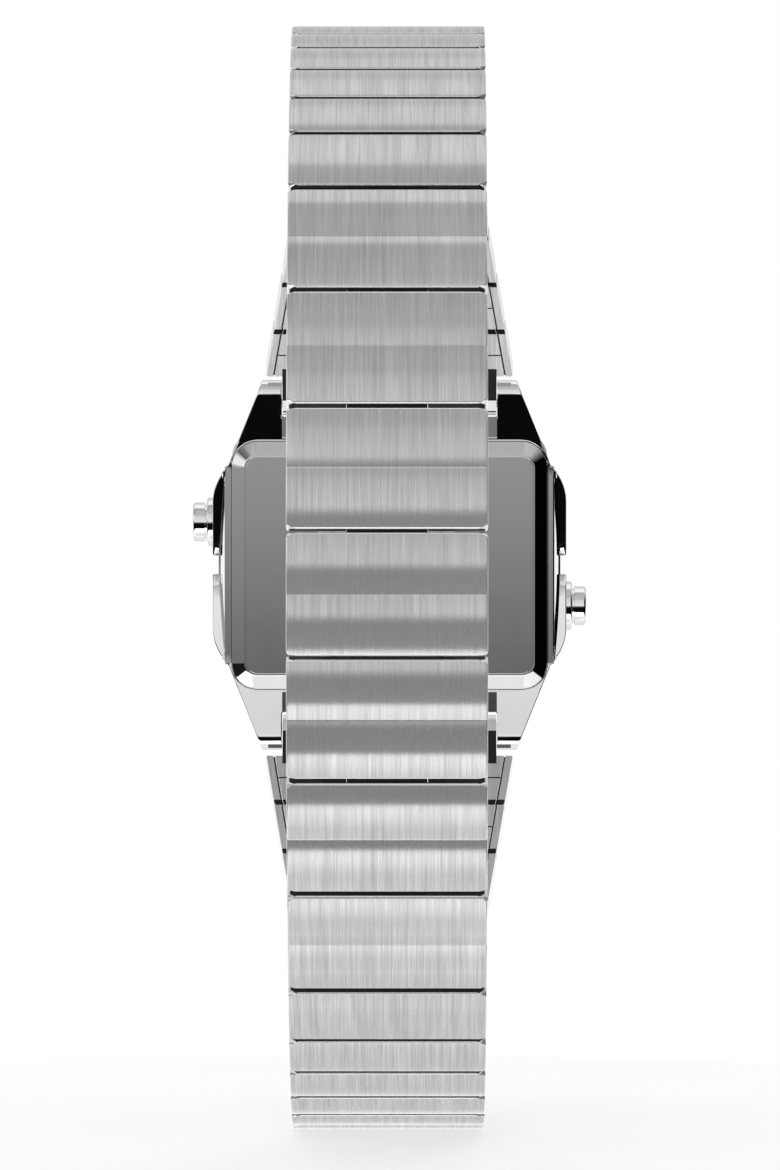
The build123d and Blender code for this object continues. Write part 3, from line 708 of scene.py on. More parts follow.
def case_outline():
    """Outline of the case seen from the front, all round."""
    shoulder_x = CASE_HALF_WIDTH - SHOULDER_IN
    upper = [(LUG_GAP / 2 + LUG_TIP_WIDTH, LUG_TIP_Z), (LUG_GAP / 2 + LUG_ROOT_WIDTH, LUG_ROOT_Z)]
    upper += arc_through(
        (shoulder_x, SHOULDER_Z), (CASE_HALF_WIDTH - WING_BULGE_IN, WING_BULGE_Z),
        (CASE_HALF_WIDTH, WING_TOP_Z), 7,
    )
    right = upper + [(x, -z) for x, z in upper[::-1]]
    return right + [(-x, z) for x, z in right[::-1]]


def bow_drop(z):
    return BACK_RADIUS - math.sqrt(BACK_RADIUS ** 2 - z ** 2)


CASE_MIDDLE_Y = -PANEL_RISE - bow_drop(PANEL[1] / 2)
PAD_Y = CASE_MIDDLE_Y + bow_drop(PAD_HEIGHT / 2)
SEAT_Y = PAD_Y - PANEL_SEAT


def case_side():
    """Side view of the case: bowed back, lug ends rounded into it."""
    round_z = LUG_TIP_Z - LUG_ROUND
    bow_end_z = round_z / (1 + LUG_ROUND / BACK_RADIUS)
    lean = math.degrees(math.asin(bow_end_z / BACK_RADIUS))
    round_y = CASE_MIDDLE_Y + bow_drop(bow_end_z) - LUG_ROUND * math.cos(math.radians(lean))
    upper = [(CASE_FRONT_Y, CASE_FRONT_Z), (LUG_FRONT_Y, LUG_TIP_Z)]
    upper += arc((round_y, round_z), LUG_ROUND, 90, -lean, BOW_STEPS)
    for step in range(1, BOW_STEPS + 1):
        z = bow_end_z * (1 - step / BOW_STEPS)
        upper.append((CASE_MIDDLE_Y + bow_drop(z), z))
    return upper + [(y, -z) for y, z in upper[-2::-1]]


def raised_pad():
    """Flat-topped pad on the bowed back, which the case back sits in."""
    loops = []
    half = PANEL[0] / 2 + PAD_RIM
    for step in range(-PAD_STEPS, PAD_STEPS + 1):
        z = PAD_HEIGHT / 2 * step / PAD_STEPS
        foot = CASE_MIDDLE_Y + bow_drop(z) - PAD_FOOT
        draft = PAD_DRAFT * (PAD_Y - foot) / (PAD_Y - CASE_MIDDLE_Y)
        right = [(half, PAD_Y), (half + draft, foot), (half - PAD_ROOT_IN, foot - PAD_ROOT_DEPTH)]
        loops.append([(x, y, z) for x, y in right + [(-x, y) for x, y in right[::-1]]])
    return mesh_from_loops(loops)


def end_holes(sign):
    """What is cut from the softened case at its upper or lower end, and for the pusher there."""
    far = sign * FAR
    half_gap = LUG_GAP / 2
    rise = math.tan(math.radians(RECESS_LEAN))
    span = sorted((sign * RECESS_Z, far))
    floor = [(RECESS_Y + rise * (end - sign * RECESS_Z), end) for end in span]
    holes = [side_slab(floor + [(FAR, span[1]), (FAR, span[0])], -half_gap, half_gap)]
    for start, radius, steps in (
        (CASE_HALF_WIDTH - COUNTERBORE, CAP_RADIUS + FIT, 64),
        (CASE_HALF_WIDTH - COLLAR_SEAT, COLLAR_RADIUS, 64),
        (0, STEM_RADIUS + FIT, 24),
    ):
        holes.append(lathe([(sign * start, radius), (far, radius)], PUSHER_Y, sign * PUSHER_Z, steps))
    for side in (1, -1):
        ends = [side * (half_gap + place) for place in (-1, LUG_HOLE_DEPTH)]
        holes.append(lathe([(x, BAR_TIP_RADIUS + FIT) for x in ends], BAR_Y, sign * BAR_Z, 24))
        slot_x = sorted(side * (half_gap + place) for place in (-1, LUG_SLOT_WIDTH))
        slot_z = sorted(sign * (LUG_SLOT_Z + half * LUG_SLOT_HEIGHT / 2) for half in (-1, 1))
        holes.append(block(slot_x, (LUG_SLOT_Y, FAR), slot_z))
    return holes


def build_case(materials):
    pocket = inset(PANEL, -SEAT_GAP, 0)[:3]
    steps = [
        ("INTERSECT", side_slab(case_side(), -FAR, FAR)),
        ("UNION", raised_pad()),
        ("DIFFERENCE", slab(rounded_rect(*CAVITY), -FAR, FAR)),
        ("DIFFERENCE", slab(rounded_rect(*pocket), SEAT_Y, FAR)),
    ]
    for sign in (1, -1):
        gap_z = sorted((sign * CASE_END_Z, sign * FAR))
        notch_x = sorted((sign * (CASE_HALF_WIDTH - NOTCH_DEPTH), sign * FAR))
        steps.append(("DIFFERENCE", block((-LUG_GAP / 2, LUG_GAP / 2), (-FAR, FAR), gap_z)))
        steps.append(("DIFFERENCE", block(notch_x, (-FAR, FAR), (-NOTCH_HALF, NOTCH_HALF))))
    body = soften(combine(slab(case_outline(), -FAR, FAR), *steps), CASE_EDGE)
    body = combine(body, *[("DIFFERENCE", hole) for hole in end_holes(1) + end_holes(-1)])
    place_piece("case_shell", body, "head", "case_steel", materials, "mid_case", sharp=None)


def build_case_back(materials):
    """Back plate: bevel round a flat field with a fine border line."""
    wall = SEAT_GAP + SPIGOT_WALL
    far = SEAT_Y - SPIGOT_DEPTH
    border_end = BORDER_IN + BORDER_WIDTH

    def bevel(share, drop=0.0):
        sizes = [a + (b - a) * share for a, b in zip(PANEL, PANEL_FLAT)]
        return (*sizes, -PANEL_RISE * (1 - share) - drop)

    def field(amount, y=0.0):
        return inset(PANEL_FLAT, amount, y, 0.5)

    rings = [
        inset(CAVITY, wall, -PANEL_WALL), inset(CAVITY, wall, far), inset(CAVITY, SEAT_GAP, far),
        inset(CAVITY, SEAT_GAP, SEAT_Y), (*PANEL, SEAT_Y), (*PANEL, -PANEL_RISE - PANEL_EDGE),
        bevel(0.02, PANEL_EDGE * 0.2), bevel(0.06), bevel(0.94), bevel(0.98, PANEL_CREST_DROP),
        field(0.03), field(BORDER_IN), field(BORDER_IN + BORDER_SLOPE, -BORDER_DEPTH),
        field(border_end, -BORDER_DEPTH), field(border_end + BORDER_SLOPE),
    ]
    mesh = ring_stack(rings)
    place_piece("back_plate", mesh, "head", "case_back_steel", materials, "case_back", sharp=20)


def turned(profile, sign, ends="caps"):
    """Solid turned about the axis of the pusher on one side."""
    return lathe([(sign * x, radius) for x, radius in profile], PUSHER_Y, sign * PUSHER_Z, 72, ends)


def pusher_profile():
    """Half section of a pusher: stem with its clip, shoulder, grooved neck and domed cap."""
    stem_end, clip_far, clip_near = [CAVITY[0] / 2 - gap for gap in CLIP_PLACES]
    shoulder = CASE_HALF_WIDTH - CAP_SINK
    neck = CASE_HALF_WIDTH + COLLAR_STAND + NECK_GAP
    groove = CAP_RADIUS - NECK_DEPTH
    end = CASE_HALF_WIDTH + CAP_REACH
    rim = CAP_RADIUS - CAP_RIM
    profile = [
        (stem_end, AXIS), (stem_end, STEM_RADIUS), (clip_far, STEM_RADIUS), (clip_far, CLIP_RADIUS),
        (clip_near, CLIP_RADIUS), (clip_near, STEM_RADIUS), (shoulder, STEM_RADIUS), (shoulder, CAP_RADIUS),
        (neck, CAP_RADIUS), (neck + NECK_FLOOR[0], groove), (neck + NECK_FLOOR[1], groove),
        (neck + NECK_END[0], CAP_RADIUS - NECK_CHAMFER), (neck + NECK_END[1], CAP_RADIUS),
    ]
    profile += arc((end - CAP_RIM, rim), CAP_RIM, 90, 12, 6)
    profile += [(end - depth, rim - inwards) for depth, inwards in RIM_STEPS]
    foot, edge = profile[-1]
    for share in DOME_SHARES:
        profile.append((foot + (end + CAP_DOME - foot) * (1 - share ** 2), edge * share))
    return profile


def build_pushers(materials):
    for number, sign in PUSHER_SIDES:
        name = f"pusher_{number}"
        mesh = turned(pusher_profile(), sign)
        place_piece(name + "_cap", mesh, name, "pusher_steel", materials, name, sharp=32)
    inner = CAP_RADIUS + FIT
    ring = COLLAR_RADIUS - SEAT_GAP
    seat = CASE_HALF_WIDTH - COLLAR_SEAT
    front = CASE_HALF_WIDTH + COLLAR_STAND
    rounding = (ring - inner) / 2
    profile = [(seat, inner), (seat, ring)]
    profile += arc((front - rounding, ring - rounding), rounding, 90, 0, 6)
    profile += [(front, inner + COLLAR_CHAMFER), (front - COLLAR_CHAMFER, inner), (seat, inner)]
    collars = join_meshes([turned(profile, sign, "joined") for _, sign in PUSHER_SIDES])
    place_piece("collars", collars, "head", "pusher_steel", materials, "pusher_collars", sharp=32)


def build_springs(materials):
    """Return springs, one coil in each pusher's counterbore."""
    foot = CASE_HALF_WIDTH - COUNTERBORE
    length = COUNTERBORE - CAP_SINK - 2 * COIL_PLAY
    for number, sign in PUSHER_SIDES:
        loops = []
        for step in range(COIL_STEPS + 1):
            turn = 2 * math.pi * COIL_TURNS * step / COIL_STEPS
            middle = foot + COIL_PLAY + COIL_WIRE + (length - 2 * COIL_WIRE) * step / COIL_STEPS
            ring = []
            for across, along in arc((0, 0), COIL_WIRE, 0, 360, 12)[:-1]:
                radius = COIL_RADIUS + across
                y = PUSHER_Y + radius * math.cos(turn)
                z = sign * PUSHER_Z + radius * math.sin(turn)
                ring.append((sign * (middle + along), y, z))
            loops.append(ring)
        node = f"pusher_spring_{number}"
        piece = place_piece(node + "_coil", mesh_from_loops(loops), "head", "contact_steel", materials, node)
        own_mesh(piece)


def join_meshes(meshes):
    """One mesh that holds several, apart from each other."""
    work = bmesh.new()
    for mesh in meshes:
        work.from_mesh(mesh)
    joined = bpy.data.meshes.new("part")
    work.to_mesh(joined)
    work.free()
    return joined


def build_front(steel, glass, ink, line):
    """Bezel, crystal, printed mask and the display with its digits."""
    top = CASE_FRONT_Y - BEZEL_THICKNESS
    front = top - CRYSTAL_STAND
    back = front + CRYSTAL_THICKNESS
    seat = inset(CRYSTAL, -CRYSTAL_GAP, 0)[:3]
    chamfer = CRYSTAL_STAND / 2
    rings = [
        (*WINDOW, CASE_FRONT_Y), (*WINDOW, back), (*seat, back), (*seat, top + 0.1),
        inset(seat, -0.03, top + 0.03, 0.7), inset(seat, -0.1, top, 0.7),
        inset(BEZEL_CREST, 0.1, top, 0.7), inset(BEZEL_CREST, 0.03, top + 0.02, 0.7),
        inset(BEZEL_CREST, -0.03, top + 0.07, 0.7), (*BEZEL, CASE_FRONT_Y - 0.08), (*BEZEL, CASE_FRONT_Y),
        (*WINDOW, CASE_FRONT_Y),
    ]
    place_piece("bezel_ring", ring_stack(rings, "joined"), "head", "case_steel", steel, "bezel", sharp=20)
    rings = [(*CRYSTAL, back - SEAT_GAP), (*CRYSTAL, front + chamfer)]
    for share, depth in PANE_EDGE:
        rings.append(inset(CRYSTAL, chamfer * share, front + depth, 0.7))
    place_piece("pane", ring_stack(rings), "head", "crystal_glass", (glass,), "crystal", sharp=20)
    build_display(ink, line)


# Segments of a digit, clockwise from its top with the middle last, and those that each lights
SEGMENTS = {
    "a": ((0, 1), (1, 1)), "b": ((1, 0.5), (1, 1)), "c": ((1, 0), (1, 0.5)), "d": ((0, 0), (1, 0)),
    "e": ((0, 0), (0, 0.5)), "f": ((0, 0.5), (0, 1)), "g": ((0, 0.5), (1, 0.5)),
}
LIT = {
    "0": "adfbec", "1": "bc", "2": "abged", "3": "abgcd", "5": "afgcd", "6": "afgecd",
    "8": "agdfbec", "-": "g",
}


def segment(start, end, thickness):
    """Six-sided bar between two corners of a digit, with a small gap at its tips."""
    along = (end - start).normalized()
    across = Vector((-along.y, along.x)) * thickness / 2
    a = start + along * thickness * SEGMENT_GAP
    b = end - along * thickness * SEGMENT_GAP
    inner = along * thickness / 2
    return [a, a + inner + across, b - inner + across, b, b - inner - across, a + inner - across]


def digits(text, corner, height, y_span):
    """Row of digits seen from the front, from its lower left corner at (x, z)."""
    width = height * DIGIT_WIDTH
    thickness = height * DIGIT_STROKE
    meshes = []
    x = corner[0]
    for sign in text:
        if sign == ":":
            for z in COLON_HEIGHTS:
                dot = rounded_rect(thickness, thickness, thickness * DOT_CORNER, 2)
                moved = [(x + thickness / 2 + dx, corner[1] + height * z + dz) for dx, dz in dot]
                meshes.append(slab(moved, *y_span))
            x += thickness * COLON_PITCH
            continue
        for name in LIT[sign]:
            ends = [Vector((x + width * px, corner[1] + height * pz)) for px, pz in SEGMENTS[name]]
            lean = [Vector((p.x + (p.y - corner[1]) * DIGIT_LEAN, p.y)) for p in ends]
            meshes.append(slab([tuple(p) for p in segment(*lean, thickness)], *y_span))
        x += width + thickness * DIGIT_SPACE
    return meshes


def build_display(ink, line):
    depth = [LCD_FRONT_Y - stand for stand in INK_STANDS]
    rows = []
    for text, corner, height in DIGIT_ROWS:
        rows += digits(text, corner, height, depth)
    rows.append(block(RULE_X, depth, RULE_Z))
    place_piece("digits", join_meshes(rows), "head", "lcd_glass", (ink,))
    back, front = [MASK_FRONT_Y - stand for stand in PRINT_STANDS]
    frames = []
    for width, height, wall in MASK_FRAMES:
        outer = (width, height, MASK_CORNER)
        inner = framed(outer, wall, wall, MASK_INNER_CORNER)
        rings = [(*outer, back), (*outer, front), (*inner, front), (*inner, back), (*outer, back)]
        frames.append(ring_stack(rings, "joined"))
    place_piece("mask_lines", join_meshes(frames), "head", "mask_print", (line,))


# Clasp, in its own frame on the split below the middle link: v outwards, h upwards

def clasp_to_row(mesh):
    """Move a mesh of (v, x, h) points from the clasp's frame to the row frame."""
    side_y = next(j["pos_m"][1] for j in frame["joints"] if j["child"] == "centre_link") / MM
    turn = math.radians(SPLIT_HALF_ANGLE)
    outward = Vector((0, math.cos(turn), -math.sin(turn)))
    upward = Vector((0, math.sin(turn), math.cos(turn)))
    columns = Matrix((outward, Vector((1, 0, 0)), upward)).transposed().to_4x4()
    mesh.transform(Matrix.Translation((0, side_y, SPLIT_Z)) @ columns)
    if columns.determinant() < 0:
        mesh.flip_normals()
    return mesh


def bent_strip(points, thickness, half_width):
    half = thickness / 2
    outer = arc_through(*[(v + half, h) for v, h in points], 24)
    inner = arc_through(*[(v - half, h) for v, h in points[::-1]], 24)
    return prism(outer + inner, half_width)


def ears(v, h, root_v):
    """Two rounded ears at the clasp's sides, and the pin through them."""
    inner_x = BLADE_HALF_WIDTH + EAR_GAP
    away = 0 if v > root_v else 180
    outline = arc((v, h), CLASP_EYE_RADIUS, away - 90, away + 90, 16)
    outline += [(root_v, height) for _, height in (outline[-1], outline[0])]
    meshes = []
    for sign in (1, -1):
        ear = prism(outline, EAR_WIDTH / 2)
        ear.transform(Matrix.Translation((0, sign * (inner_x + EAR_WIDTH / 2), 0)))
        meshes.append(ear)
    pin = rod(v, h, CLASP_PIN_RADIUS, inner_x + EAR_WIDTH + EAR_PIN_STAND, 28)
    return meshes, pin


def build_clasp(materials):
    reach = CLASP_PIN_SETBACK + BLADE_LENGTH
    for label, side in (("upper", 1), ("lower", -1)):
        near = (-CLASP_PIN_DEPTH, side * CLASP_PIN_SETBACK)
        far = (-CLASP_FAR_DEPTH, side * reach)
        middle = (-BLADE_MID_DEPTH, side * (CLASP_PIN_SETBACK + BLADE_LENGTH / 2))
        blade = bent_strip((near, middle, far), BLADE_THICKNESS, BLADE_HALF_WIDTH)
        steps = [("UNION", rod(*spot, CLASP_EYE_RADIUS, BLADE_HALF_WIDTH)) for spot in (near, far)]
        steps += [("DIFFERENCE", rod(*spot, CLASP_PIN_RADIUS + FIT, 20)) for spot in (near, far)]
        mesh = soften(combine(blade, *steps), BLADE_EDGE, 2, 50)
        node = "clasp_blade_" + label
        place_piece(node + "_shell", clasp_to_row(mesh), node, "clasp_steel", materials, node, sharp=None)
        carrier = "centre_link" if side > 0 else "lower_double_link_3"
        pair, pin = ears(*near, EAR_ROOT)
        mesh = join_meshes([soften(ear, BLADE_EDGE, 2, 50) for ear in pair] + [pin])
        place_piece(carrier + "_ears", clasp_to_row(mesh), carrier, "clasp_steel", materials)
    end_depth = CLASP_FAR_DEPTH + CLASP_EYE_RADIUS + PLATE_GAP + PLATE_THICKNESS / 2
    width = BLADE_HALF_WIDTH + EAR_GAP + EAR_WIDTH
    points = ((-end_depth, -reach), (-PLATE_MID_DEPTH, 0), (-end_depth, reach))
    plate = bent_strip(points, PLATE_THICKNESS, width)
    steps, pins = [], []
    for side in (1, -1):
        pair, pin = ears(-CLASP_FAR_DEPTH, side * reach, -end_depth)
        steps += [("UNION", ear) for ear in pair]
        pins.append(pin)
    mesh = clasp_to_row(join_meshes([soften(combine(plate, *steps), PLATE_EDGE, 2, 50)] + pins))
    place_piece("clasp_plate_shell", mesh, "clasp_plate", "clasp_steel", materials, "clasp_plate")


def build_spring_bars(materials):
    tube = LUG_GAP / 2 - END_TONGUE_GAP
    flange = tube - BAR_FLANGE_LENGTH
    shoulder = flange - BAR_NECK
    for number, sign, tip, body in (
        (12, 1, BAR_TIP_LENGTH, "head"),
        (6, -1, BAR_TIP_PRESSED, "lower_link_01"),
    ):
        half = [
            (shoulder - 0.1, BAR_RADIUS), (shoulder, BAR_RADIUS - 0.08), (shoulder, BAR_TIP_RADIUS),
            (flange, BAR_TIP_RADIUS), (flange, BAR_FLANGE_RADIUS - 0.05), (flange + 0.05, BAR_FLANGE_RADIUS),
            (tube - 0.05, BAR_FLANGE_RADIUS), (tube, BAR_FLANGE_RADIUS - 0.05), (tube, BAR_TIP_RADIUS),
            (tube + tip - 0.08, BAR_TIP_RADIUS), (tube + tip, BAR_TIP_RADIUS - 0.1),
        ]
        profile = [(-x, radius) for x, radius in half[::-1]] + half
        mesh = lathe(profile, BAR_Y, sign * BAR_Z, 32)
        node = f"spring_bar_{number}"
        place_piece(node + "_turned", mesh, body, "bar_steel", materials, node, sharp=35)


# Materials

def new_material(name):
    material = bpy.data.materials.new(name)
    material.use_nodes = True
    tree = material.node_tree
    return material, tree, tree.nodes["Principled BSDF"]


def feed(tree, node, inputs):
    """Give each input a plain value, or link it to another node's output."""
    for name, value in inputs.items():
        if isinstance(value, bpy.types.NodeSocket):
            tree.links.new(value, node.inputs[name])
        else:
            node.inputs[name].default_value = value


def new_node(tree, kind, output, inputs, **settings):
    """One output of a new node with these settings and inputs."""
    node = tree.nodes.new("ShaderNode" + kind)
    for name, value in settings.items():
        setattr(node, name, value)
    feed(tree, node, inputs)
    return node.outputs[output]


def math_node(tree, operation, *values):
    return new_node(tree, "Math", "Value", dict(enumerate(values)), operation=operation)


def ramp(tree, value, low, high, low_at=0.3, high_at=0.7):
    """Value carried from one range to another and held at its ends."""
    inputs = {"Value": value, "From Min": low_at, "From Max": high_at, "To Min": low, "To Max": high}
    return new_node(tree, "MapRange", "Result", inputs)


def mix(tree, factor, first, second):
    inputs = {"Factor": factor, "A": first, "B": second}
    return new_node(tree, "Mix", "Result", inputs, data_type="RGBA")


def mottle(tree, factor, tint, spread):
    """Colour that wanders a little to either side of a tint."""
    dark, light = [(*[part * share for part in tint], 1) for share in (1 - spread, 1 + spread)]
    return mix(tree, factor, dark, light)


def stretched_noise(tree, source, scale, detail, stretch):
    """Noise whose cells are drawn out by a different factor along each axis."""
    vector = new_node(tree, "Mapping", "Vector", {"Vector": source, "Scale": stretch})
    inputs = {"Vector": vector, "Scale": scale, "Detail": detail, "Roughness": NOISE_ROUGHNESS}
    return new_node(tree, "TexNoise", "Fac", inputs)


def object_noise(tree, scale, detail=4, stretch=(1, 1, 1)):
    place = new_node(tree, "TexCoord", "Object", {})
    return stretched_noise(tree, place, scale, detail, stretch)


def bump(tree, height, strength, depth):
    """Normal that follows a height of some depth in millimetres."""
    inputs = {"Height": height, "Strength": strength, "Distance": depth * MM}
    return new_node(tree, "Bump", "Normal", inputs)


def brushed_steel():
    """Steel with its brush lines along the bracelet."""
    material, tree, shader = new_material("brushed_steel")
    place = new_node(tree, "UVMap", "UV", {}, uv_map="brush")
    wide = stretched_noise(tree, place, 1.0, 2, WIDE_STREAKS)
    fine = stretched_noise(tree, place, 1.0, 4, FINE_STREAKS)
    most = math_node(tree, "MULTIPLY", fine, FINE_SHARE)
    both = math_node(tree, "MULTIPLY_ADD", wide, 1 - FINE_SHARE, most)
    tone = ramp(tree, both, 0.0, 1.0, *STREAK_RANGE)
    along = new_node(tree, "Tangent", "Tangent", {}, direction_type="UV_MAP", uv_map="brush")
    feed(tree, shader, {
        "Base Color": mix(tree, tone, *[(grey, grey, grey, 1) for grey in STREAK_GREYS]),
        "Roughness": ramp(tree, fine, *STREAK_ROUGHNESS),
        "Metallic": ramp(tree, both, *STREAK_METALLIC, *STREAK_RANGE),
        "Normal": bump(tree, both, STREAK_BUMP, STREAK_DEPTH),
        "Tangent": along,
        "Anisotropic": STREAK_ANISOTROPY,
    })
    return material


def plain_steel(name, tint, roughness, spread, scale, stretch=(1, 1, 1), metallic=1.0):
    """Metal without a brushed tangent: polished, satin or blasted by its roughness."""
    material, tree, shader = new_material(name)
    noise = object_noise(tree, scale, 4, stretch)
    feed(tree, shader, {
        "Base Color": mottle(tree, noise, tint, STEEL_MOTTLE),
        "Roughness": ramp(tree, noise, roughness - spread, roughness + spread),
        "Metallic": metallic,
    })
    return material


def plain_solid(name, tint, roughness, scale, strength, coat=0.0, specular=0.5):
    """Plastic, rubber, laminate, print or painted shade: mottled colour and a fine grain."""
    material, tree, shader = new_material(name)
    noise = object_noise(tree, scale)
    feed(tree, shader, {
        "Base Color": mottle(tree, noise, tint, SOLID_MOTTLE),
        "Roughness": ramp(tree, noise, roughness * (1 - SOLID_MOTTLE), roughness * (1 + SOLID_MOTTLE)),
        "Normal": bump(tree, noise, strength, GRAIN_DEPTH),
        "Coat Weight": coat,
        "Specular IOR Level": specular,
    })
    return material


def crystal_glass():
    material, tree, shader = new_material("crystal_glass")
    noise = object_noise(tree, 120, 3)
    feed(tree, shader, {
        "Base Color": mix(tree, noise, (0.93, 0.96, 0.95, 1), (0.96, 0.98, 0.97, 1)),
        "Roughness": ramp(tree, noise, 0.0, 0.012),
        "Transmission Weight": 1.0,
        "IOR": 1.5,
    })
    return material


# Studio. Brightness by elevation in degrees: on the side that the case back faces, on the
# -X side, on the +X side, and behind the dial.
BACK_SIDE_STOPS = (
    (-90, 0.86), (-66, 0.9), (-50, 1.5), (-36, 1.75), (-34.6, 0.003), (-5, 0.003), (-2.5, 0.12),
    (-1.1, 0.33), (1.8, 0.44), (3.6, 0.88), (20, 0.78), (38, 0.68), (42, 0.54), (66, 0.52), (76, 0.43),
    (90, 0.42),
)
MINUS_X_STOPS = (
    (-90, 1.1), (-60, 1.0), (-39, 0.95), (-37, 0.001), (22, 0.001), (32, 0.12), (50, 0.5), (90, 0.6),
)
PLUS_X_STOPS = (
    (-90, 1.1), (-50, 1.2), (-36, 1.2), (-34.6, 0.01), (-4.5, 0.01), (-2.8, 0.12), (-1.0, 0.34), (4, 0.42),
    (9, 0.95), (28, 0.9), (38, 0.12), (50, 0.2), (60, 0.42), (90, 0.42),
)
DIAL_SIDE_STOPS = (
    (-90, 0.95), (-60, 0.85), (-40, 0.8), (-28, 0.95), (-12, 1.2), (-4, 1.1), (2, 0.95), (8, 0.64),
    (46, 0.68), (57, 0.95), (72, 1.05), (90, 1.0),
)
# Angles from +Y between which one part of the studio gives way to the next: towards -X
# they are negative, and the last pair counts to either side.
MINUS_X_AZIMUTHS = (-26, -33)
PLUS_X_AZIMUTHS = (48, 56)
DIAL_SIDE_AZIMUTHS = (99, 107)


def world_ramp(tree, elevation, stops):
    """Brightness by elevation, from (degrees, grey) pairs."""
    node = tree.nodes.new("ShaderNodeValToRGB")
    elements = node.color_ramp.elements
    elements.remove(elements[-1])
    for number, (angle, grey) in enumerate(stops):
        place = (angle + 90) / 180
        element = elements[0] if number == 0 else elements.new(place)
        element.position = place
        element.color = (grey, grey, grey, 1)
    feed(tree, node, {"Fac": elevation})
    return node.outputs["Color"]


def build_world():
    """Studio that the steel mirrors; the camera itself sees plain white."""
    world = bpy.data.worlds.new("studio")
    bpy.context.scene.world = world
    world.use_nodes = True
    tree = world.node_tree
    split = tree.nodes.new("ShaderNodeSeparateXYZ")
    feed(tree, split, {"Vector": new_node(tree, "TexCoord", "Generated", {})})
    rise = math_node(tree, "ARCSINE", split.outputs["Z"])
    elevation = math_node(tree, "MULTIPLY_ADD", rise, 1 / math.pi, 0.5)
    turn = math_node(tree, "ARCTAN2", split.outputs["X"], split.outputs["Y"])
    away = math_node(tree, "ABSOLUTE", turn)
    light = world_ramp(tree, elevation, BACK_SIDE_STOPS)
    for angle, azimuths, stops in (
        (turn, MINUS_X_AZIMUTHS, MINUS_X_STOPS),
        (turn, PLUS_X_AZIMUTHS, PLUS_X_STOPS),
        (away, DIAL_SIDE_AZIMUTHS, DIAL_SIDE_STOPS),
    ):
        share = ramp(tree, angle, 0.0, 1.0, *[math.radians(a) for a in azimuths])
        light = mix(tree, share, light, world_ramp(tree, elevation, stops))
    seen = new_node(tree, "LightPath", "Is Camera Ray", {})
    light = mix(tree, seen, light, (1, 1, 1, 1))
    feed(tree, tree.nodes["Background"], {"Color": light, "Strength": 1.0})


def build_floor():
    """Pale round floor under the loop, white to the camera but for the shadow."""
    low, high = cad_box
    outline = [(x, y, 0) for x, y in arc((0, 0), FLOOR_RADIUS, 0, 360, 96)[:-1]]
    mesh = bpy.data.meshes.new("floor")
    mesh.from_pydata(outline, [], [list(range(len(outline)))])
    middle = (low + high) / 2
    place = Matrix.Translation((0, middle.y, low.z - FLOOR_DROP * MM)) @ Matrix.Scale(MM, 4)
    mesh.transform(place)
    floor = new_object("floor", mesh)
    material, tree, shader = new_material("floor_white")
    seen = new_node(tree, "LightPath", "Is Camera Ray", {})
    feed(tree, shader, {
        "Base Color": (0.8, 0.8, 0.8, 1),
        "Roughness": 0.9,
        "Specular IOR Level": 0.0,
        "Emission Color": (1, 1, 1, 1),
        "Emission Strength": math_node(tree, "MULTIPLY", seen, FLOOR_LIFT),
    })
    floor.data.materials.append(material)
    floor.visible_shadow = False
    floor.visible_glossy = False


def build_fill():
    """Soft light from below, on the camera's side, that no steel mirrors."""
    sun = bpy.data.lights.new("fill", "SUN")
    sun.energy = FILL_STRENGTH
    sun.angle = math.radians(FILL_SPREAD)
    light = new_object("fill", sun)
    light.rotation_euler = (math.radians(90 + FILL_ELEVATION), 0, math.radians(180))
    light.visible_glossy = False


def build_camera():
    front_y = cad_box[1].y
    optics = bpy.data.cameras.new("camera")
    optics.sensor_fit = "VERTICAL"
    optics.sensor_height = SENSOR_HEIGHT
    optics.lens = FOCAL_PIXELS * SENSOR_HEIGHT / FRAME_HEIGHT_PIXELS
    optics.clip_end = CAMERA_RANGE
    camera = new_object("camera", optics)
    spot = Vector((CAMERA_X * MM, front_y + CAMERA_DISTANCE * MM, CAMERA_Z * MM))
    aim = Vector((AIM_X * MM, front_y, AIM_Z * MM))
    camera.location = spot
    camera.rotation_euler = (aim - spot).to_track_quat("-Z", "Y").to_euler()
    bpy.context.scene.camera = camera


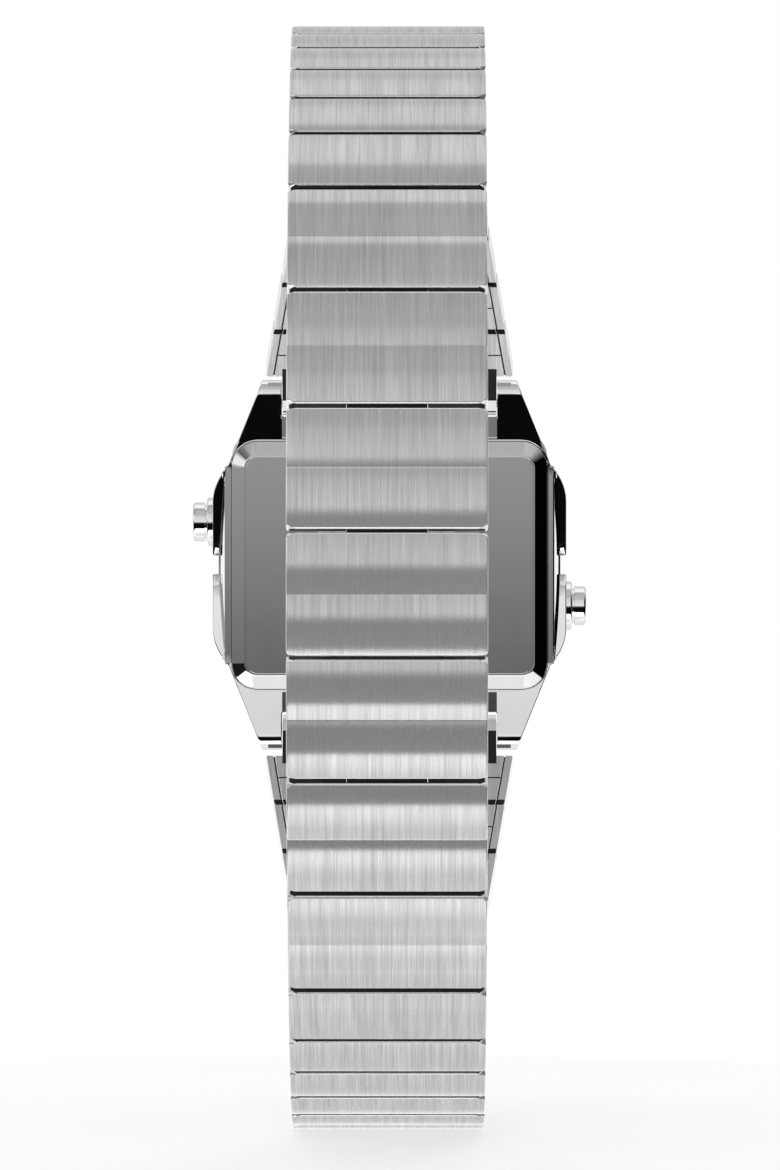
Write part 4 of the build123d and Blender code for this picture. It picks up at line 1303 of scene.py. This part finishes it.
brushed = brushed_steel()
polished = plain_steel("polished_steel", (0.88,) * 3, 0.05, 0.02, 400)
satin = plain_steel("satin_steel", (0.61,) * 3, 0.10, 0.015, 900, (1, 1, 8))
edge_steel = plain_steel("edge_steel", (0.88,) * 3, 0.22, 0.03, 600, (1, 1, 1), 0.7)
# Painted shade: near-black, barely glossy colour for the link faces in the joints, on the first link's
# tongue and in the lip groove, where shade falls
joint_painted_shade = plain_solid("joint_painted_shade", (0.03,) * 3, 0.6, 1500, 0.1, 0.0, 0.1)
clasp_steel = plain_steel("clasp_steel", (0.62, 0.62, 0.61), 0.26, 0.05, 900, (8, 1, 1))
turned_steel = plain_steel("turned_steel", (0.60,) * 3, 0.24, 0.04, 1500, (8, 1, 1))
contact_steel = plain_steel("contact_steel", (0.74, 0.71, 0.64), 0.22, 0.04, 900)
cell_steel = plain_steel("cell_steel", (0.76, 0.76, 0.74), 0.28, 0.05, 700)
glass = crystal_glass()
mask_black = plain_solid("mask_black", (0.012, 0.012, 0.014), 0.4, 2500, 0.05, 0.1)
mask_line = plain_steel("mask_line", (0.70,) * 3, 0.3, 0.05, 2500)
lcd_face = plain_solid("lcd_face", (0.42, 0.46, 0.38), 0.35, 4000, 0.15, 0.2)
lcd_ink = plain_solid("lcd_ink", (0.022, 0.026, 0.03), 0.35, 4000, 0.1)
module_black = plain_solid("module_black", (0.03, 0.03, 0.033), 0.55, 3000, 0.4)
laminate = plain_solid("laminate", (0.03, 0.16, 0.07), 0.4, 1800, 0.3, 0.3)
rubber = plain_solid("rubber", (0.018,) * 3, 0.7, 4000, 0.5)
nylon = plain_solid("nylon", (0.75, 0.75, 0.71), 0.45, 2500, 0.2)

# Finish of each of the row's material slots on the solids that stay as they are
SLOT_FINISH = {
    "case_steel": polished, "case_back_steel": satin, "bracelet_steel": brushed, "clasp_steel": clasp_steel,
    "pusher_steel": polished, "bar_steel": turned_steel, "contact_steel": contact_steel,
    "battery_steel": cell_steel, "crystal_glass": glass, "lcd_glass": lcd_face, "mask_print": mask_black,
    "module_plastic": module_black, "board_laminate": laminate, "seal_rubber": rubber, "seal_plastic": nylon,
}


def dress_nodes():
    """Give every carried-over solid the finish of its material slot."""
    finish = {row["node"]: row["material_slot"] for row in frame["record"]["subparts"]}
    for name, node in frame["nodes"].items():
        material = SLOT_FINISH[finish[name]]
        if not node.data.materials:
            node.data.materials.append(material)
        for slot in node.material_slots:
            slot.material = material


dress_nodes()
build_bracelet((brushed, edge_steel, joint_painted_shade, polished))
build_case((polished,))
build_case_back((polished,))
build_pushers((polished,))
build_springs((contact_steel,))
build_front((polished,), glass, lcd_ink, mask_line)
build_clasp((clasp_steel,))
build_spring_bars((turned_steel,))
build_world()
build_floor()
build_fill()
build_camera()
bpy.context.scene.view_settings.view_transform = "Standard"
